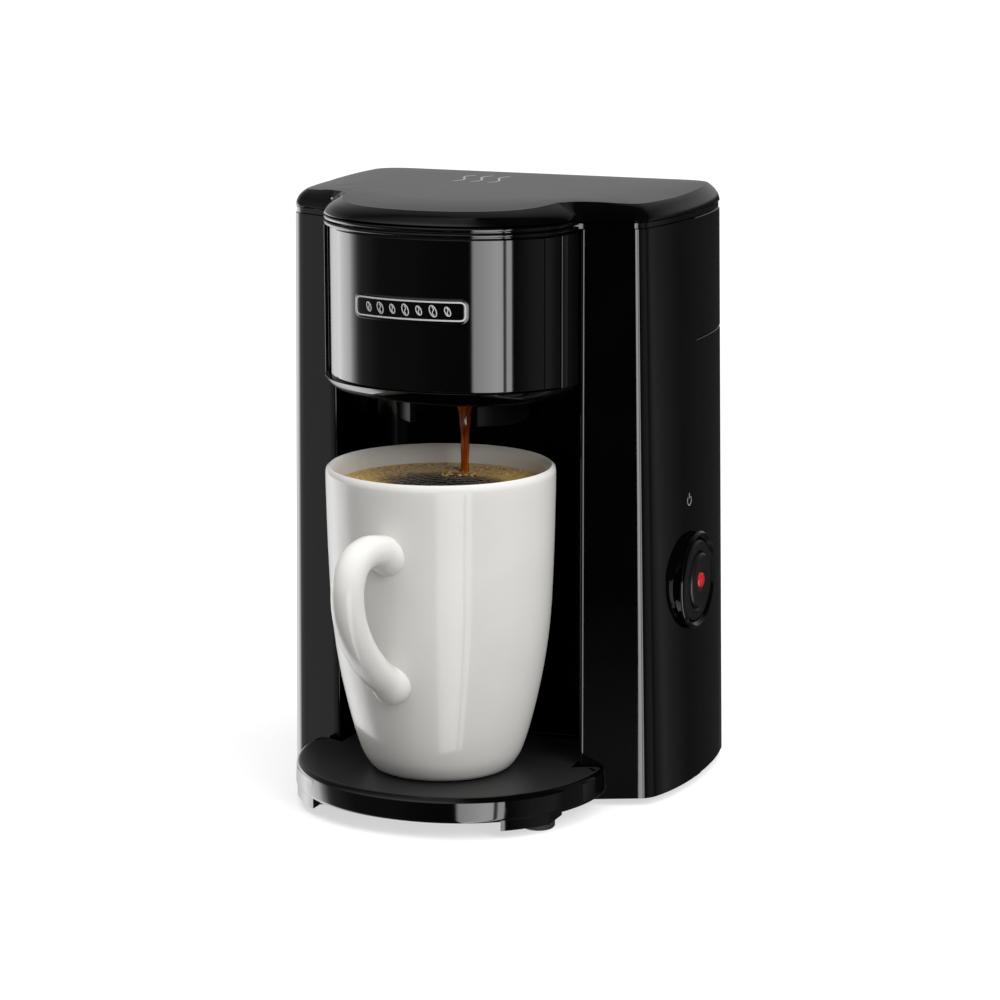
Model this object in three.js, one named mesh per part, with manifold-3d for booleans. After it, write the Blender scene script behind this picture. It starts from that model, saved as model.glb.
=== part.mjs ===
// A one-cup drip coffee maker with its mug, as an assembly of separate solids.
// Millimetres. +Z is up, the front faces -Y and the switch is on the +X side. The origin is on the table,
// under the middle of the whole machine, mug handle included.
import * as THREE from "three";
import { mergeVertices } from "three/addons/utils/BufferGeometryUtils.js";
import Module from "manifold-3d";

const wasm = await Module();
wasm.setup();

// ---- Driving dimensions ----

const GAP = 0.3; // between pieces that touch
const WALL = 2.4; // housing wall

const BODY_BOTTOM = 2.7; // lower edge of the tower
const BODY_TOP = 210.5; // where the deck lies on the tower
const DECK_TOP = 212.6;
const LID_BOTTOM = 212.9;
const LID_TOP = 220.7;
const REAR_SPLIT_Z = 166.0; // rear cover below, rear housing above
const SEAM_Y = 46.0; // front housing before it, rear shells behind it
const BACK_Y = 88.0;

const WING_X = 47.6; // inner corner of each front pillar
const WING_Y = -3.2;
const SWEEP = THREE.MathUtils.degToRad(24.5); // how far the pillars' front faces are swept back
const BAY_BACK_Y = 32.5;
const BAY_TOP = 151.7; // the head's underside

const HEAD_X = 47.3; // half-width of the head
const HEAD_DEPTH = 38.4; // how far the head's oval front stands out of its middle
const HEAD_Y = -0.2;
const HEAD_BAND_TOP = 213.7; // the deck's collar round the head
const PANEL_BOTTOM = 156.0;
const PANEL_ANGLE = THREE.MathUtils.degToRad(68); // half of the head that the front panel covers

const BREW_Y = 5.0; // axis of the filter, its holder and the outlet
const HOLDER_R = 35.4;

const BASE_Y = -6.2; // where the foot plate is widest
const BASE_DEPTH = 55.6; // from there to its front
const BASE_FULLNESS = 0.952; // 1 is an ellipse, less is squarer
const BASE_HALF_WIDTH = 57.8;
const BASE_TOP = 15.6;
const BASE_BOTTOM = 6.0;

const FRONT_FOOT = { x: 43.0, y: -31.0 };
const REAR_FOOT = { x: 48.0, y: 74.0 };

const MUG = { x: 1.0, y: -19.5, height: 110.7, handleAngle: THREE.MathUtils.degToRad(-5.2) };
const MUG_Z = BASE_TOP + 0.2;

const SWITCH = { y: 40.3, z: 77.8, face: 77.0, hole: 17.2 };

const TANK = { front: 51.0, bottom: 148.0, top: 209.4, wall: 1.8 };
const RISER_Y = 47.2; // the hot water's way up, between filter holder and tank

const VALVE = { x: 24.0, y: 64.0, top: 88.0, bottom: 70.0 };
const HEATER = { z: 24.0, x: 24.0, front: 48.0, back: 63.0 };
const CORD = { x: -42.0, z: 20.0 }; // the hole for the mains lead
const SCREWS = [
  { x: -62, y: 20 },
  { x: 62, y: 20 },
  { x: -58, y: 76 },
  { x: 58, y: 76 },
];

const HINGE = { y: 88.9, z: 213.8, barrel: 2.3, pin: 1.0, x: 40.0, knuckle: 6.0 };

// ---- Solids ----

/** A manifold solid from a closed geometry. */
function solid(geometry) {
  const bare = new THREE.BufferGeometry();
  const source = geometry.index ? geometry.toNonIndexed() : geometry;
  bare.setAttribute("position", source.getAttribute("position").clone());
  const merged = mergeVertices(bare, 1e-4);
  return new wasm.Manifold(
    new wasm.Mesh({
      numProp: 3,
      vertProperties: merged.getAttribute("position").array,
      triVerts: new Uint32Array(merged.index.array),
    }),
  );
}

/** A geometry from a manifold solid. */
function geometryOf(made) {
  const mesh = made.getMesh();
  const geometry = new THREE.BufferGeometry();
  geometry.setAttribute("position", new THREE.BufferAttribute(new Float32Array(mesh.vertProperties), 3));
  geometry.setIndex(new THREE.BufferAttribute(new Uint32Array(mesh.triVerts), 1));
  return geometry;
}

/** The first geometry with the others joined to it. */
function join(first, ...others) {
  return geometryOf(others.reduce((sum, g) => sum.add(solid(g)), solid(first)));
}

/** The first geometry with the others cut out of it. */
function cut(first, ...tools) {
  return geometryOf(tools.reduce((rest, g) => rest.subtract(solid(g)), solid(first)));
}

/** What two geometries share. */
function common(a, b) {
  return geometryOf(solid(a).intersect(solid(b)));
}

/** A block between two corners. */
function block(low, high) {
  const size = high.map((v, i) => v - low[i]);
  const middle = high.map((v, i) => (v + low[i]) / 2);
  return new THREE.BoxGeometry(...size).translate(...middle);
}

/** A round bar along X, Y or Z, from one end to the other. */
function bar(axis, radius, start, end, [a, b], sides = 24) {
  const made = new THREE.CylinderGeometry(radius, radius, end - start, sides);
  const middle = (start + end) / 2;
  if (axis === "x") return made.rotateZ(-Math.PI / 2).translate(middle, a, b);
  if (axis === "y") return made.translate(a, middle, b);
  return made.rotateX(Math.PI / 2).translate(a, b, middle);
}

/** A body turned about a vertical axis from [radius, height] points that run up the outside. */
function turned(profile, [x, y, z], sides = 32) {
  const points = profile.map(([r, h]) => new THREE.Vector2(r, h));
  return new THREE.LatheGeometry(points, sides).rotateX(Math.PI / 2).translate(x, y, z);
}

/** The same, about an axis along X, with heights running towards +X. */
function turnedAlongX(profile, [x, y, z], sides = 24) {
  const points = profile.map(([r, h]) => new THREE.Vector2(r, h));
  return new THREE.LatheGeometry(points, sides).rotateZ(-Math.PI / 2).translate(x, y, z);
}

/** A straight-sided body over a closed outline. */
function prism(outline, low, high) {
  return loft([
    [low, outline],
    [high, outline],
  ]);
}

/** A closed skin through outlines that all have the same number of points, from the lowest to the highest. */
function loft(sections) {
  const count = sections[0][1].length;
  const position = sections.flatMap(([z, outline]) => outline.flatMap((p) => [p.x, p.y, z]));
  const index = [];
  for (let level = 0; level < sections.length - 1; level++) {
    for (let i = 0; i < count; i++) {
      const a = level * count + i;
      const b = level * count + ((i + 1) % count);
      index.push(a, b, b + count, a, b + count, a + count);
    }
  }
  const last = (sections.length - 1) * count;
  for (const [a, b, c] of THREE.ShapeUtils.triangulateShape(sections[0][1], [])) index.push(c, b, a);
  for (const [a, b, c] of THREE.ShapeUtils.triangulateShape(sections.at(-1)[1], [])) {
    index.push(last + a, last + b, last + c);
  }
  const geometry = new THREE.BufferGeometry();
  geometry.setAttribute("position", new THREE.Float32BufferAttribute(position, 3));
  geometry.setIndex(index);
  return geometry;
}

/** A circle of a few points, as a shape. */
function circle(radius, sides) {
  const around = new THREE.Path().absarc(0, 0, radius, 0, 2 * Math.PI, false);
  return new THREE.Shape(around.getSpacedPoints(sides).slice(0, -1));
}

/** A round tube along a smooth curve through points, hollow where a bore is given. */
function tube(points, radius, steps = 24, sides = 8, bore = 0) {
  const ring = circle(radius, sides);
  if (bore) ring.holes.push(circle(bore, sides));
  const path = new THREE.CatmullRomCurve3(points.map((p) => new THREE.Vector3(...p)));
  return new THREE.ExtrudeGeometry(ring, { steps, extrudePath: path, bevelEnabled: false });
}

// ---- Plan outlines ----

/** A closed outline from its right half, which runs from the front to the back. */
function mirrored(right) {
  const left = right.map((p) => new THREE.Vector2(-p.x, p.y)).reverse();
  const all = [...right, ...left];
  return all.filter((p, i) => p.distanceTo(all[(i + 1) % all.length]) > 0.02);
}

/** The y of a pillar's front face, moved in by inset. */
function wingFaceY(x, inset) {
  return WING_Y + (x - WING_X) * Math.tan(SWEEP) + inset / Math.cos(SWEEP);
}

/** The tower's side and rear corner, added to a path that has reached the pillar's front face. */
function addSide(path, up, inset) {
  const mix = (bottom, top) => THREE.MathUtils.lerp(bottom, top, up) - inset;
  const corner = new THREE.Vector2(mix(70.6, 67.8), 0);
  corner.y = wingFaceY(corner.x, inset);
  const rearX = mix(74.6, 71.3);
  const side = new THREE.CubicBezierCurve(
    corner,
    new THREE.Vector2(mix(78.0, 72.6), 20),
    new THREE.Vector2(mix(79.8, 75.2), 54),
    new THREE.Vector2(rearX, 78),
  );
  const roundedFrom = new THREE.Vector2(corner.x - 3 * Math.cos(SWEEP), corner.y - 3 * Math.sin(SWEEP));
  const [start, ...rest] = side.getPoints(6);
  const roundedTo = start.clone().lerp(rest[0], 0.4);
  path.lineTo(roundedFrom.x, roundedFrom.y);
  path.quadraticCurveTo(corner.x, corner.y, roundedTo.x, roundedTo.y);
  for (const p of rest) path.lineTo(p.x, p.y);
  path.quadraticCurveTo(rearX - 1, BACK_Y - inset, rearX - 12, BACK_Y - inset);
}

/** The tower with its cup bay, where up is 0 at the bottom edge and 1 at the top. */
function towerOutline(up, inset = 0) {
  const path = new THREE.Path();
  const back = BAY_BACK_Y + inset;
  const side = WING_X + inset;
  const fillet = 12;
  path.moveTo(0, back);
  path.lineTo(side - fillet, back);
  path.quadraticCurveTo(side, back, side, back - fillet);
  path.lineTo(side, wingFaceY(side, inset) + 1.2);
  path.quadraticCurveTo(side, wingFaceY(side, inset), side + 1.2, wingFaceY(side + 1.2, inset));
  addSide(path, up, inset);
  return mirrored(path.getPoints(3));
}

/** The whole top in plan: the head's oval front and the two pillars. */
function topOutline(inset = 0, fillet = 1.5) {
  const path = new THREE.Path();
  const a = HEAD_X - inset;
  const b = HEAD_DEPTH - inset;
  const joinY = Math.min(wingFaceY(a, inset) - fillet, HEAD_Y);
  const end = Math.acos(Math.min(1, (HEAD_Y - joinY) / b));
  const steps = 14;
  path.moveTo(0, HEAD_Y - b);
  for (let i = 1; i <= steps; i++) {
    const t = (end * i) / steps;
    path.lineTo(a * Math.sin(t), HEAD_Y - b * Math.cos(t));
  }
  path.quadraticCurveTo(a, wingFaceY(a, inset), a + fillet, wingFaceY(a + fillet, inset));
  addSide(path, 1, inset);
  return mirrored(path.getPoints(3));
}

/** The head alone: oval front, straight sides back to the given y. */
function headOutline(inset, backY) {
  const right = [];
  const steps = 14;
  for (let i = 0; i <= steps; i++) {
    const t = (Math.PI / 2) * (i / steps);
    right.push(
      new THREE.Vector2((HEAD_X - inset) * Math.sin(t), HEAD_Y - (HEAD_DEPTH - inset) * Math.cos(t)),
    );
  }
  right.push(new THREE.Vector2(HEAD_X - inset, backY));
  return mirrored(right);
}

/** The foot plate: full round front, blunt corners by the pillars' faces, and a tongue into the bay. */
function baseOutline(inset) {
  const right = [];
  const half = BASE_HALF_WIDTH - inset;
  const depth = BASE_DEPTH - inset;
  const steps = 16;
  for (let i = 0; i < steps; i++) {
    const t = ((Math.PI / 2) * i) / steps;
    right.push(new THREE.Vector2(half * Math.sin(t) ** BASE_FULLNESS, BASE_Y - depth * Math.cos(t) ** BASE_FULLNESS));
  }
  const edge = wingFaceY(half, -GAP - inset);
  const corner = new THREE.QuadraticBezierCurve(
    new THREE.Vector2(half, edge - 4.5),
    new THREE.Vector2(half, edge),
    new THREE.Vector2(half - 4, wingFaceY(half - 4, -GAP - inset)),
  );
  right.push(...corner.getPoints(4));
  const tongue = WING_X - GAP - 0.2 - inset;
  right.push(new THREE.Vector2(tongue, wingFaceY(tongue, -GAP - 0.2 - inset)));
  right.push(new THREE.Vector2(tongue, 15 - inset));
  right.push(new THREE.Vector2(tongue - 12, BAY_BACK_Y - 3 - inset));
  return mirrored(right);
}

// ---- Looks ----

function look(color, roughness, metalness = 0) {
  return new THREE.MeshStandardMaterial({ color, roughness, metalness });
}

const LOOKS = {
  glossBlack: look(0x0b0b0c, 0.12),
  satinBlack: look(0x161618, 0.42),
  mattBlack: look(0x1b1b1d, 0.6),
  darkGrey: look(0x2a2a2c, 0.5),
  clearGrey: look(0x55585c, 0.3),
  silver: look(0xb9bcc0, 0.3, 0.9),
  aluminium: look(0xa8abad, 0.45, 0.9),
  steel: look(0x8d9094, 0.35, 1),
  rubber: look(0x141414, 0.9),
  silicone: look(0xd9d6cf, 0.6),
  ceramic: look(0xe9e5de, 0.15),
  redLens: look(0xc01818, 0.2),
  mesh: look(0x7d6f52, 0.6),
  brass: look(0xb08d3c, 0.35, 1),
  wireBlue: look(0x25408f, 0.5),
  wireBrown: look(0x5a3620, 0.5),
};

const machine = new THREE.Group();

function add(name, geometry, material) {
  const mesh = new THREE.Mesh(geometry, material);
  mesh.name = name;
  machine.add(mesh);
}

// ---- Housing ----

/** A tower shell between two heights, open at both ends. */
function towerShell(low, high) {
  const up = (z) => (z - BODY_BOTTOM) / (BODY_TOP - BODY_BOTTOM);
  const outer = loft([low, high].map((z) => [z, towerOutline(up(z))]));
  const inner = loft([low - 1, high + 1].map((z) => [z, towerOutline(up(z), WALL)]));
  return cut(outer, inner);
}

/** The tube that one bottom screw bites into, with the rib that ties it to the wall. */
function screwBoss({ x, y }) {
  const low = BODY_BOTTOM + 3.8;
  const post = bar("z", 3.8, low, 24, [x, y], 16);
  const wall = 74.6 * Math.sign(x);
  const sideways = block([Math.min(x, wall), y - 0.8, low], [Math.max(x, wall), y + 0.8, 22]);
  const backwards = block([x - 0.8, y, low], [x + 0.8, BACK_Y - 1.5, 22]);
  return [join(post, y < SEAM_Y ? sideways : backwards), bar("z", 1.8, low - 1, 20, [x, y], 12)];
}

/** A shell with the screw bosses whose places pass the test. */
function withBosses(shell, belongs) {
  const bosses = SCREWS.filter(belongs).map(screwBoss);
  return cut(join(shell, ...bosses.map(([boss]) => boss)), ...bosses.map(([, hole]) => hole));
}

function addHousing() {
  const far = 200;
  const behindSeam = block([-far, SEAM_Y, 0], [far, far, far + 50]);
  const headWay = block([-WING_X, -20, BAY_TOP], [WING_X, BAY_BACK_Y + WALL + 1, BODY_TOP + 2]);
  const panelWay = block([-24, BAY_BACK_Y - 1, 40], [24, BAY_BACK_Y + WALL + 1, 130]);
  const switchWay = bar("x", SWITCH.hole, 60, 90, [SWITCH.y, SWITCH.z], 28);
  add(
    "front_housing",
    withBosses(
      cut(towerShell(BODY_BOTTOM, BODY_TOP), behindSeam, headWay, panelWay, switchWay),
      ({ y }) => y < SEAM_Y,
    ),
    LOOKS.glossBlack,
  );

  const rearOnly = (low, high) => block([-far, SEAM_Y + GAP, low], [far, far, high]);
  const cordWay = bar("y", 6.6, BACK_Y - 6, BACK_Y + 3, [CORD.x, CORD.z], 24);
  add(
    "rear_cover",
    withBosses(
      cut(common(towerShell(BODY_BOTTOM, REAR_SPLIT_Z), rearOnly(0, far)), cordWay, switchWay),
      ({ y }) => y > SEAM_Y,
    ),
    LOOKS.satinBlack,
  );
  add(
    "rear_housing",
    common(towerShell(REAR_SPLIT_Z + GAP, BODY_TOP), rearOnly(0, far + 50)),
    LOOKS.satinBlack,
  );
}

/** The plate behind the mug, with its raised middle column. */
function addBayPanel() {
  const front = BAY_BACK_Y - 2.3;
  const plate = block([-34, front, BASE_TOP + 0.6], [34, BAY_BACK_Y - GAP, BAY_TOP - 1]);
  const column = block([-21, front - 1.2, BASE_TOP + 0.6], [21, front + 0.5, BAY_TOP - 1]);
  add("bay_panel", join(plate, column), LOOKS.glossBlack);
}

// ---- Head ----

/** A wedge of space in front of the head, as wide as the front panel. */
function panelWedge(low, high, angle) {
  const reach = 150;
  const wedge = [
    new THREE.Vector2(0, HEAD_Y + 6),
    ...[-1, -0.5, 0, 0.5, 1].map(
      (k) => new THREE.Vector2(reach * Math.sin(k * angle), HEAD_Y - reach * Math.cos(k * angle)),
    ),
  ];
  return prism(wedge, low, high);
}

function addHead() {
  const back = BAY_BACK_Y - GAP;
  const outer = loft([
    [BAY_TOP, headOutline(2.4, back)],
    [BAY_TOP + 0.9, headOutline(0.9, back)],
    [BAY_TOP + 2.6, headOutline(0, back)],
    [BODY_TOP, headOutline(0, back)],
  ]);
  const inner = prism(headOutline(4.2, back + 5), BAY_TOP + 3, BODY_TOP + 2);
  const drumWay = bar("z", 24.2, BAY_TOP - 2, BAY_TOP + 6, [0, BREW_Y], 36);
  const ring = cut(
    prism(headOutline(-2, back - 10), PANEL_BOTTOM - GAP, BODY_TOP + 2),
    prism(headOutline(1.9, back), PANEL_BOTTOM - 5, BODY_TOP + 5),
  );
  const recess = common(ring, panelWedge(PANEL_BOTTOM - GAP, BODY_TOP + 2, PANEL_ANGLE));
  add("head_shell", cut(outer, inner, drumWay, recess), LOOKS.glossBlack);

  const skin = cut(
    prism(headOutline(0.3, back - 10), PANEL_BOTTOM, BODY_TOP),
    prism(headOutline(1.6, back), PANEL_BOTTOM - 1, BODY_TOP + 1),
  );
  const span = PANEL_ANGLE - THREE.MathUtils.degToRad(0.6);
  add("front_panel", common(skin, panelWedge(PANEL_BOTTOM - 1, BODY_TOP + 1, span)), LOOKS.glossBlack);

  const plate = cut(
    prism(headOutline(-0.8, back - 10), 180.1, 189.1),
    prism(headOutline(0, back), 170, 200),
  );
  add("badge", common(plate, block([-21, -60, 180], [21, -20, 190])), LOOKS.silver);
}

// ---- Deck, lid and hinge ----

/** One hinge barrel between two x places, with the arm that carries it. */
function knuckle(from, to, armLow, armHigh, armBackY) {
  const barrel = bar("x", HINGE.barrel, from, to, [HINGE.y, HINGE.z], 14);
  const arm = block([from, armBackY, armLow], [to, HINGE.y, armHigh]);
  const hole = bar("x", HINGE.pin + 0.15, from - 1, to + 1, [HINGE.y, HINGE.z], 12);
  return [join(barrel, arm), hole];
}

function addDeck() {
  const sides = [-1, 1];
  const holderWay = bar("z", HOLDER_R + 3.1, BODY_TOP - 2, HEAD_BAND_TOP + 2, [0, BREW_Y], 40);
  const tankWay = block([-62, TANK.front + 1, BODY_TOP - 2], [62, BACK_Y - 6.5, HEAD_BAND_TOP + 2]);
  const nozzleWay = bar("z", 3.6, BODY_TOP - 2, HEAD_BAND_TOP + 2, [0, RISER_Y], 20);
  const collar = cut(
    prism(headOutline(0.15, 0), BODY_TOP + GAP, HEAD_BAND_TOP),
    prism(headOutline(3.0, 10), DECK_TOP, HEAD_BAND_TOP + 2),
    block([-90, HEAD_Y - 6, DECK_TOP], [90, 90, HEAD_BAND_TOP + 2]),
  );
  let deck = join(prism(topOutline(0.35), BODY_TOP + GAP, DECK_TOP), collar);
  const holes = [holderWay, tankWay, nozzleWay];
  for (const side of sides) {
    for (const offset of [-1, 1]) {
      const middle = side * HINGE.x + offset * (HINGE.knuckle + GAP);
      const [made, hole] = knuckle(
        middle - HINGE.knuckle / 2, middle + HINGE.knuckle / 2, BODY_TOP + GAP, HINGE.z, BACK_Y - 0.9,
      );
      deck = join(deck, made);
      holes.push(hole);
    }
    const reach = HINGE.knuckle / 2 + 0.25;
    const middle = side * HINGE.x;
    holes.push(bar("x", HINGE.barrel + 0.45, middle - reach, middle + reach, [HINGE.y, HINGE.z], 14));
  }
  add("deck", cut(deck, ...holes), LOOKS.glossBlack);
  for (const side of sides) {
    const half = 1.5 * HINGE.knuckle + 0.2;
    const pin = bar("x", HINGE.pin, side * HINGE.x - half, side * HINGE.x + half, [HINGE.y, HINGE.z], 12);
    add("hinge_pin_" + (side < 0 ? "left" : "right"), pin, LOOKS.steel);
  }
}

function addLid() {
  const shoulder = [
    [LID_BOTTOM, 0],
    [215.2, 0.3],
    [217.6, 1.5],
    [218.9, 3.6],
  ];
  const sections = shoulder.map(([z, inset]) => [z, topOutline(inset, 1.5 + 0.5 * inset)]);
  const shell = loft(sections);
  const crown = loft([
    [218.7, topOutline(4.2, 3.5)],
    [219.9, topOutline(11, 7)],
    [LID_TOP, topOutline(21, 10)],
  ]);
  const hollow = loft([
    [LID_BOTTOM - 1, topOutline(2.6, 2)],
    [216.4, topOutline(4.8, 4)],
  ]);
  const collarWay = block(
    [-WING_X - 5, -60, LID_BOTTOM - 1],
    [WING_X + 5, WING_Y - 1.2, HEAD_BAND_TOP + GAP],
  );
  const tools = [hollow, collarWay];
  let lid = join(shell, crown);
  for (const side of [-1, 1]) {
    const x = side * HINGE.x;
    const [made, hole] = knuckle(
      x - HINGE.knuckle / 2, x + HINGE.knuckle / 2, HINGE.z - 0.7, HINGE.z + 1.6, BACK_Y - 1,
    );
    lid = join(lid, made);
    tools.push(hole);
    for (const offset of [-1, 1]) {
      const middle = x + offset * (HINGE.knuckle + GAP);
      const reach = HINGE.knuckle / 2 + 0.25;
      tools.push(bar("x", HINGE.barrel + 0.5, middle - reach, middle + reach, [HINGE.y, HINGE.z], 14));
    }
  }
  add("lid", cut(lid, ...tools), LOOKS.satinBlack);

  const liner = prism(topOutline(7, 4), 214.5, 215.3);
  const channel = cut(
    block([-6.5, BREW_Y - 6, 213.5], [6.5, RISER_Y + 5, 214.9]),
    block([-5.2, BREW_Y - 4.7, 212], [5.2, RISER_Y + 3.7, 214.3]),
  );
  const drips = [-2.6, 0, 2.6].map((x) => bar("z", 0.8, 212.9, 214.4, [x, BREW_Y], 10));
  add("lid_liner", cut(join(liner, channel), ...drips), LOOKS.mattBlack);
}

// ---- Brewing ----

function addFilterHolder() {
  const outlet = 3.3;
  const floor = BAY_TOP + 3.8;
  const ledge = 204.4; // carries the filter
  const skirt = 139.6; // the guard round the outlet, open at the front
  const profile = [
    [outlet, 145.0], [5.2, 145.0], [6.2, 146.8], [21.0, 147.4], [21.0, skirt], [23.4, skirt],
    [23.4, floor], [HOLDER_R - 3, floor + 0.3], [HOLDER_R, floor + 3.5], [HOLDER_R, 205.2],
    [HOLDER_R + 2.6, 205.2], [HOLDER_R + 2.6, 207.4], [HOLDER_R - 1.1, 207.4], [HOLDER_R - 1.1, ledge],
    [HOLDER_R - 2.2, ledge], [HOLDER_R - 2.2, floor + 5], [HOLDER_R - 4.2, floor + 2.4],
    [21.4, floor + 1.6], [21.4, 150.0], [outlet, 149.0], [outlet, 145.0],
  ];
  const view = block([-17.9, BREW_Y - 30, skirt - 1], [17.9, BREW_Y - 13, 146.9]);
  add("filter_holder", cut(turned(profile, [0, BREW_Y, 0]), view), LOOKS.satinBlack);
}

function addFilter() {
  const cone = (z) => 17 + (z - 164) * 0.33; // inner radius of the mesh
  const frame = [
    [28.8, 201.4], [32.7, 201.4], [32.7, 204.7], [33.9, 204.7], [33.9, 206.4], [28.8, 206.4], [28.8, 201.4],
  ];
  let made = turned(frame, [0, BREW_Y, 0]);
  const foot = [
    [0, 161.6], [18.2, 161.6], [18.2, 164.6], [16.0, 164.6], [16.0, 163.2], [0, 163.2],
  ];
  made = join(made, turned(foot, [0, BREW_Y, 0]));
  for (let k = 0; k < 6; k++) {
    const rib = new THREE.BoxGeometry(1.6, 2.2, 39).translate(0, 0, 182.8);
    const position = rib.getAttribute("position");
    for (let i = 0; i < position.count; i++) {
      position.setY(i, position.getY(i) + cone(position.getZ(i)) + 1.9);
    }
    made = join(made, rib.rotateZ((k * Math.PI) / 3).translate(0, BREW_Y, 0));
  }
  add("filter_frame", made, LOOKS.mattBlack);

  const skin = [
    [cone(165.2), 165.2], [cone(165.2) + 0.5, 165.2], [cone(201) + 0.5, 201], [cone(201), 201],
    [cone(165.2), 165.2],
  ];
  add("filter_mesh", turned(skin, [0, BREW_Y, 0]), LOOKS.mesh);

  const loop = [];
  for (let i = 0; i <= 12; i++) {
    const t = Math.PI * (0.04 + 0.92 * (i / 12));
    loop.push([27.2 * Math.cos(t), BREW_Y - 27.2 * Math.sin(t), 203.4]);
  }
  add("filter_handle", tube(loop, 1.1, 20, 6), LOOKS.mattBlack);
}

// ---- Water and heat ----

function addTank() {
  const up = (z) => (z - BODY_BOTTOM) / (BODY_TOP - BODY_BOTTOM);
  const inset = WALL + 0.6;
  const clip = (front, low, high) => block([-100, front, low], [100, 100, high]);
  const skin = (extra) =>
    loft([TANK.bottom - 2, TANK.top + 2].map((z) => [z, towerOutline(up(z), inset + extra)]));
  const outer = common(skin(0), clip(TANK.front, TANK.bottom, TANK.top));
  const inner = common(skin(TANK.wall), clip(TANK.front + TANK.wall, TANK.bottom + TANK.wall, TANK.top + 5));
  const spigot = bar("z", 4.0, TANK.bottom - 9, TANK.bottom + 1, [VALVE.x, VALVE.y], 20);
  const drain = bar("z", 2.6, TANK.bottom - 12, TANK.bottom + 3, [VALVE.x, VALVE.y], 16);
  add("water_tank", cut(join(cut(outer, inner), spigot), drain), LOOKS.clearGrey);

  const screen = [
    [0, 0], [6.5, 0], [6.5, 0.8], [2.2, 4.4], [0, 4.4],
  ];
  add(
    "tank_screen",
    turned(screen, [VALVE.x, VALVE.y, TANK.bottom + TANK.wall + GAP], 24),
    LOOKS.mesh,
  );
}

function addValve() {
  const { x, y, top, bottom } = VALVE;
  const body = [
    [2.4, bottom - 8], [3.8, bottom - 8], [3.8, bottom], [7.0, bottom + 1], [7.0, top - 1], [3.8, top],
    [3.8, top + 8], [2.4, top + 8], [2.4, bottom + 13], [5.0, bottom + 11], [5.0, bottom + 7],
    [2.4, bottom + 4], [2.4, bottom - 8],
  ];
  add("check_valve", turned(body, [x, y, 0], 20), LOOKS.silicone);
  const ball = new THREE.IcosahedronGeometry(3.2, 1).translate(x, y, bottom + 6.6);
  add("valve_ball", ball, LOOKS.steel);
}

function addWaterLines() {
  const { x, y } = VALVE;
  add(
    "tank_hose",
    tube([[x, y, TANK.bottom - 1], [x, y, 120], [x, y, VALVE.top + 1]], 6.2, 2, 12, 4.5),
    LOOKS.silicone,
  );
  add(
    "inlet_hose",
    tube(
      [
        [x, y, VALVE.bottom - 1], [x, y, 58], [x, 60, 46], [x, 48, 39],
        [x, 42, 32], [x, 42.5, HEATER.z + 1], [x, HEATER.front - 1, HEATER.z],
      ],
      5.6, 14, 10, 4.4,
    ),
    LOOKS.silicone,
  );
  add(
    "outlet_hose",
    tube(
      [
        [-x, HEATER.front - 1, HEATER.z], [-x, 42.5, HEATER.z + 1], [-x, 42, 32], [-20, 42, 42],
        [-11, 43, 52], [-2, 46.5, 60], [0, RISER_Y, 66], [0, RISER_Y, 74],
      ],
      5.6, 14, 10, 4.4,
    ),
    LOOKS.silicone,
  );
  const riser = cut(
    bar("z", 3.6, 67, 200, [0, RISER_Y], 20),
    bar("z", 2.4, 60, 210, [0, RISER_Y], 16),
  );
  add("riser_tube", riser, LOOKS.mattBlack);
  const nozzle = cut(
    join(bar("z", 2.9, 200.4, 212.2, [0, RISER_Y], 20), bar("z", 3.4, 200.4, 204, [0, RISER_Y], 20)),
    bar("z", 1.8, 198, 214, [0, RISER_Y], 16),
  );
  add("riser_nozzle", nozzle, LOOKS.silicone);
}

/** The heater: a flat aluminium extrusion bent into a U, with a round water way through both ends. */
function addHeater() {
  const { z, x, front, back } = HEATER;
  const arc = [];
  for (let i = 0; i <= 12; i++) {
    const t = Math.PI * (i / 12);
    arc.push([x * Math.cos(t), back + x * 0.5 * Math.sin(t), z]);
  }
  const path = [[x, front + 8, z], ...arc, [-x, front + 8, z]];
  const section = new THREE.Shape();
  section.moveTo(-6, -8);
  section.lineTo(6, -8);
  section.lineTo(6, 8);
  section.lineTo(-6, 8);
  section.closePath();
  const curve = new THREE.CatmullRomCurve3(path.map((p) => new THREE.Vector3(...p)));
  const rail = new THREE.ExtrudeGeometry(section, { steps: 20, extrudePath: curve, bevelEnabled: false });
  const stubs = [-x, x].map((sx) => bar("y", 4.1, front, front + 12, [sx, z], 20));
  const bores = [-x, x].map((sx) => bar("y", 2.8, front - 2, front + 10, [sx, z], 16));
  add("heater_block", cut(join(rail, ...stubs), ...bores), LOOKS.aluminium);
  for (const [name, sx] of [["left", -x + 12.6], ["right", x - 12.6]]) {
    const tab = join(
      bar("y", 2.4, front + 1, front + 9, [sx, z], 16),
      block([sx - 0.4, front - 7, z - 3], [sx + 0.4, front + 2, z + 3]),
    );
    add("element_terminal_" + name, tab, LOOKS.brass);
  }
  const strap = join(
    block([-30, back - 6, 6.2], [30, back + 3, 7.4]),
    block([-24.6, back - 6, 6.2], [-23.4, back + 3, z - 6.3]),
    block([23.4, back - 6, 6.2], [24.6, back + 3, z - 6.3]),
  );
  add("heater_bracket", strap, LOOKS.steel);
  const top = z + 6.2;
  const disc = bar("z", 8, top + 0.2, top + 5, [0, back + 12], 20);
  const cap = bar("z", 5, top + 4, top + 9, [0, back + 12], 16);
  add("thermostat", join(disc, cap), LOOKS.mattBlack);
  add("thermal_fuse", bar("x", 2.2, -8, 8, [back - 4, top + 4], 14), LOOKS.silicone);
}

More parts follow.
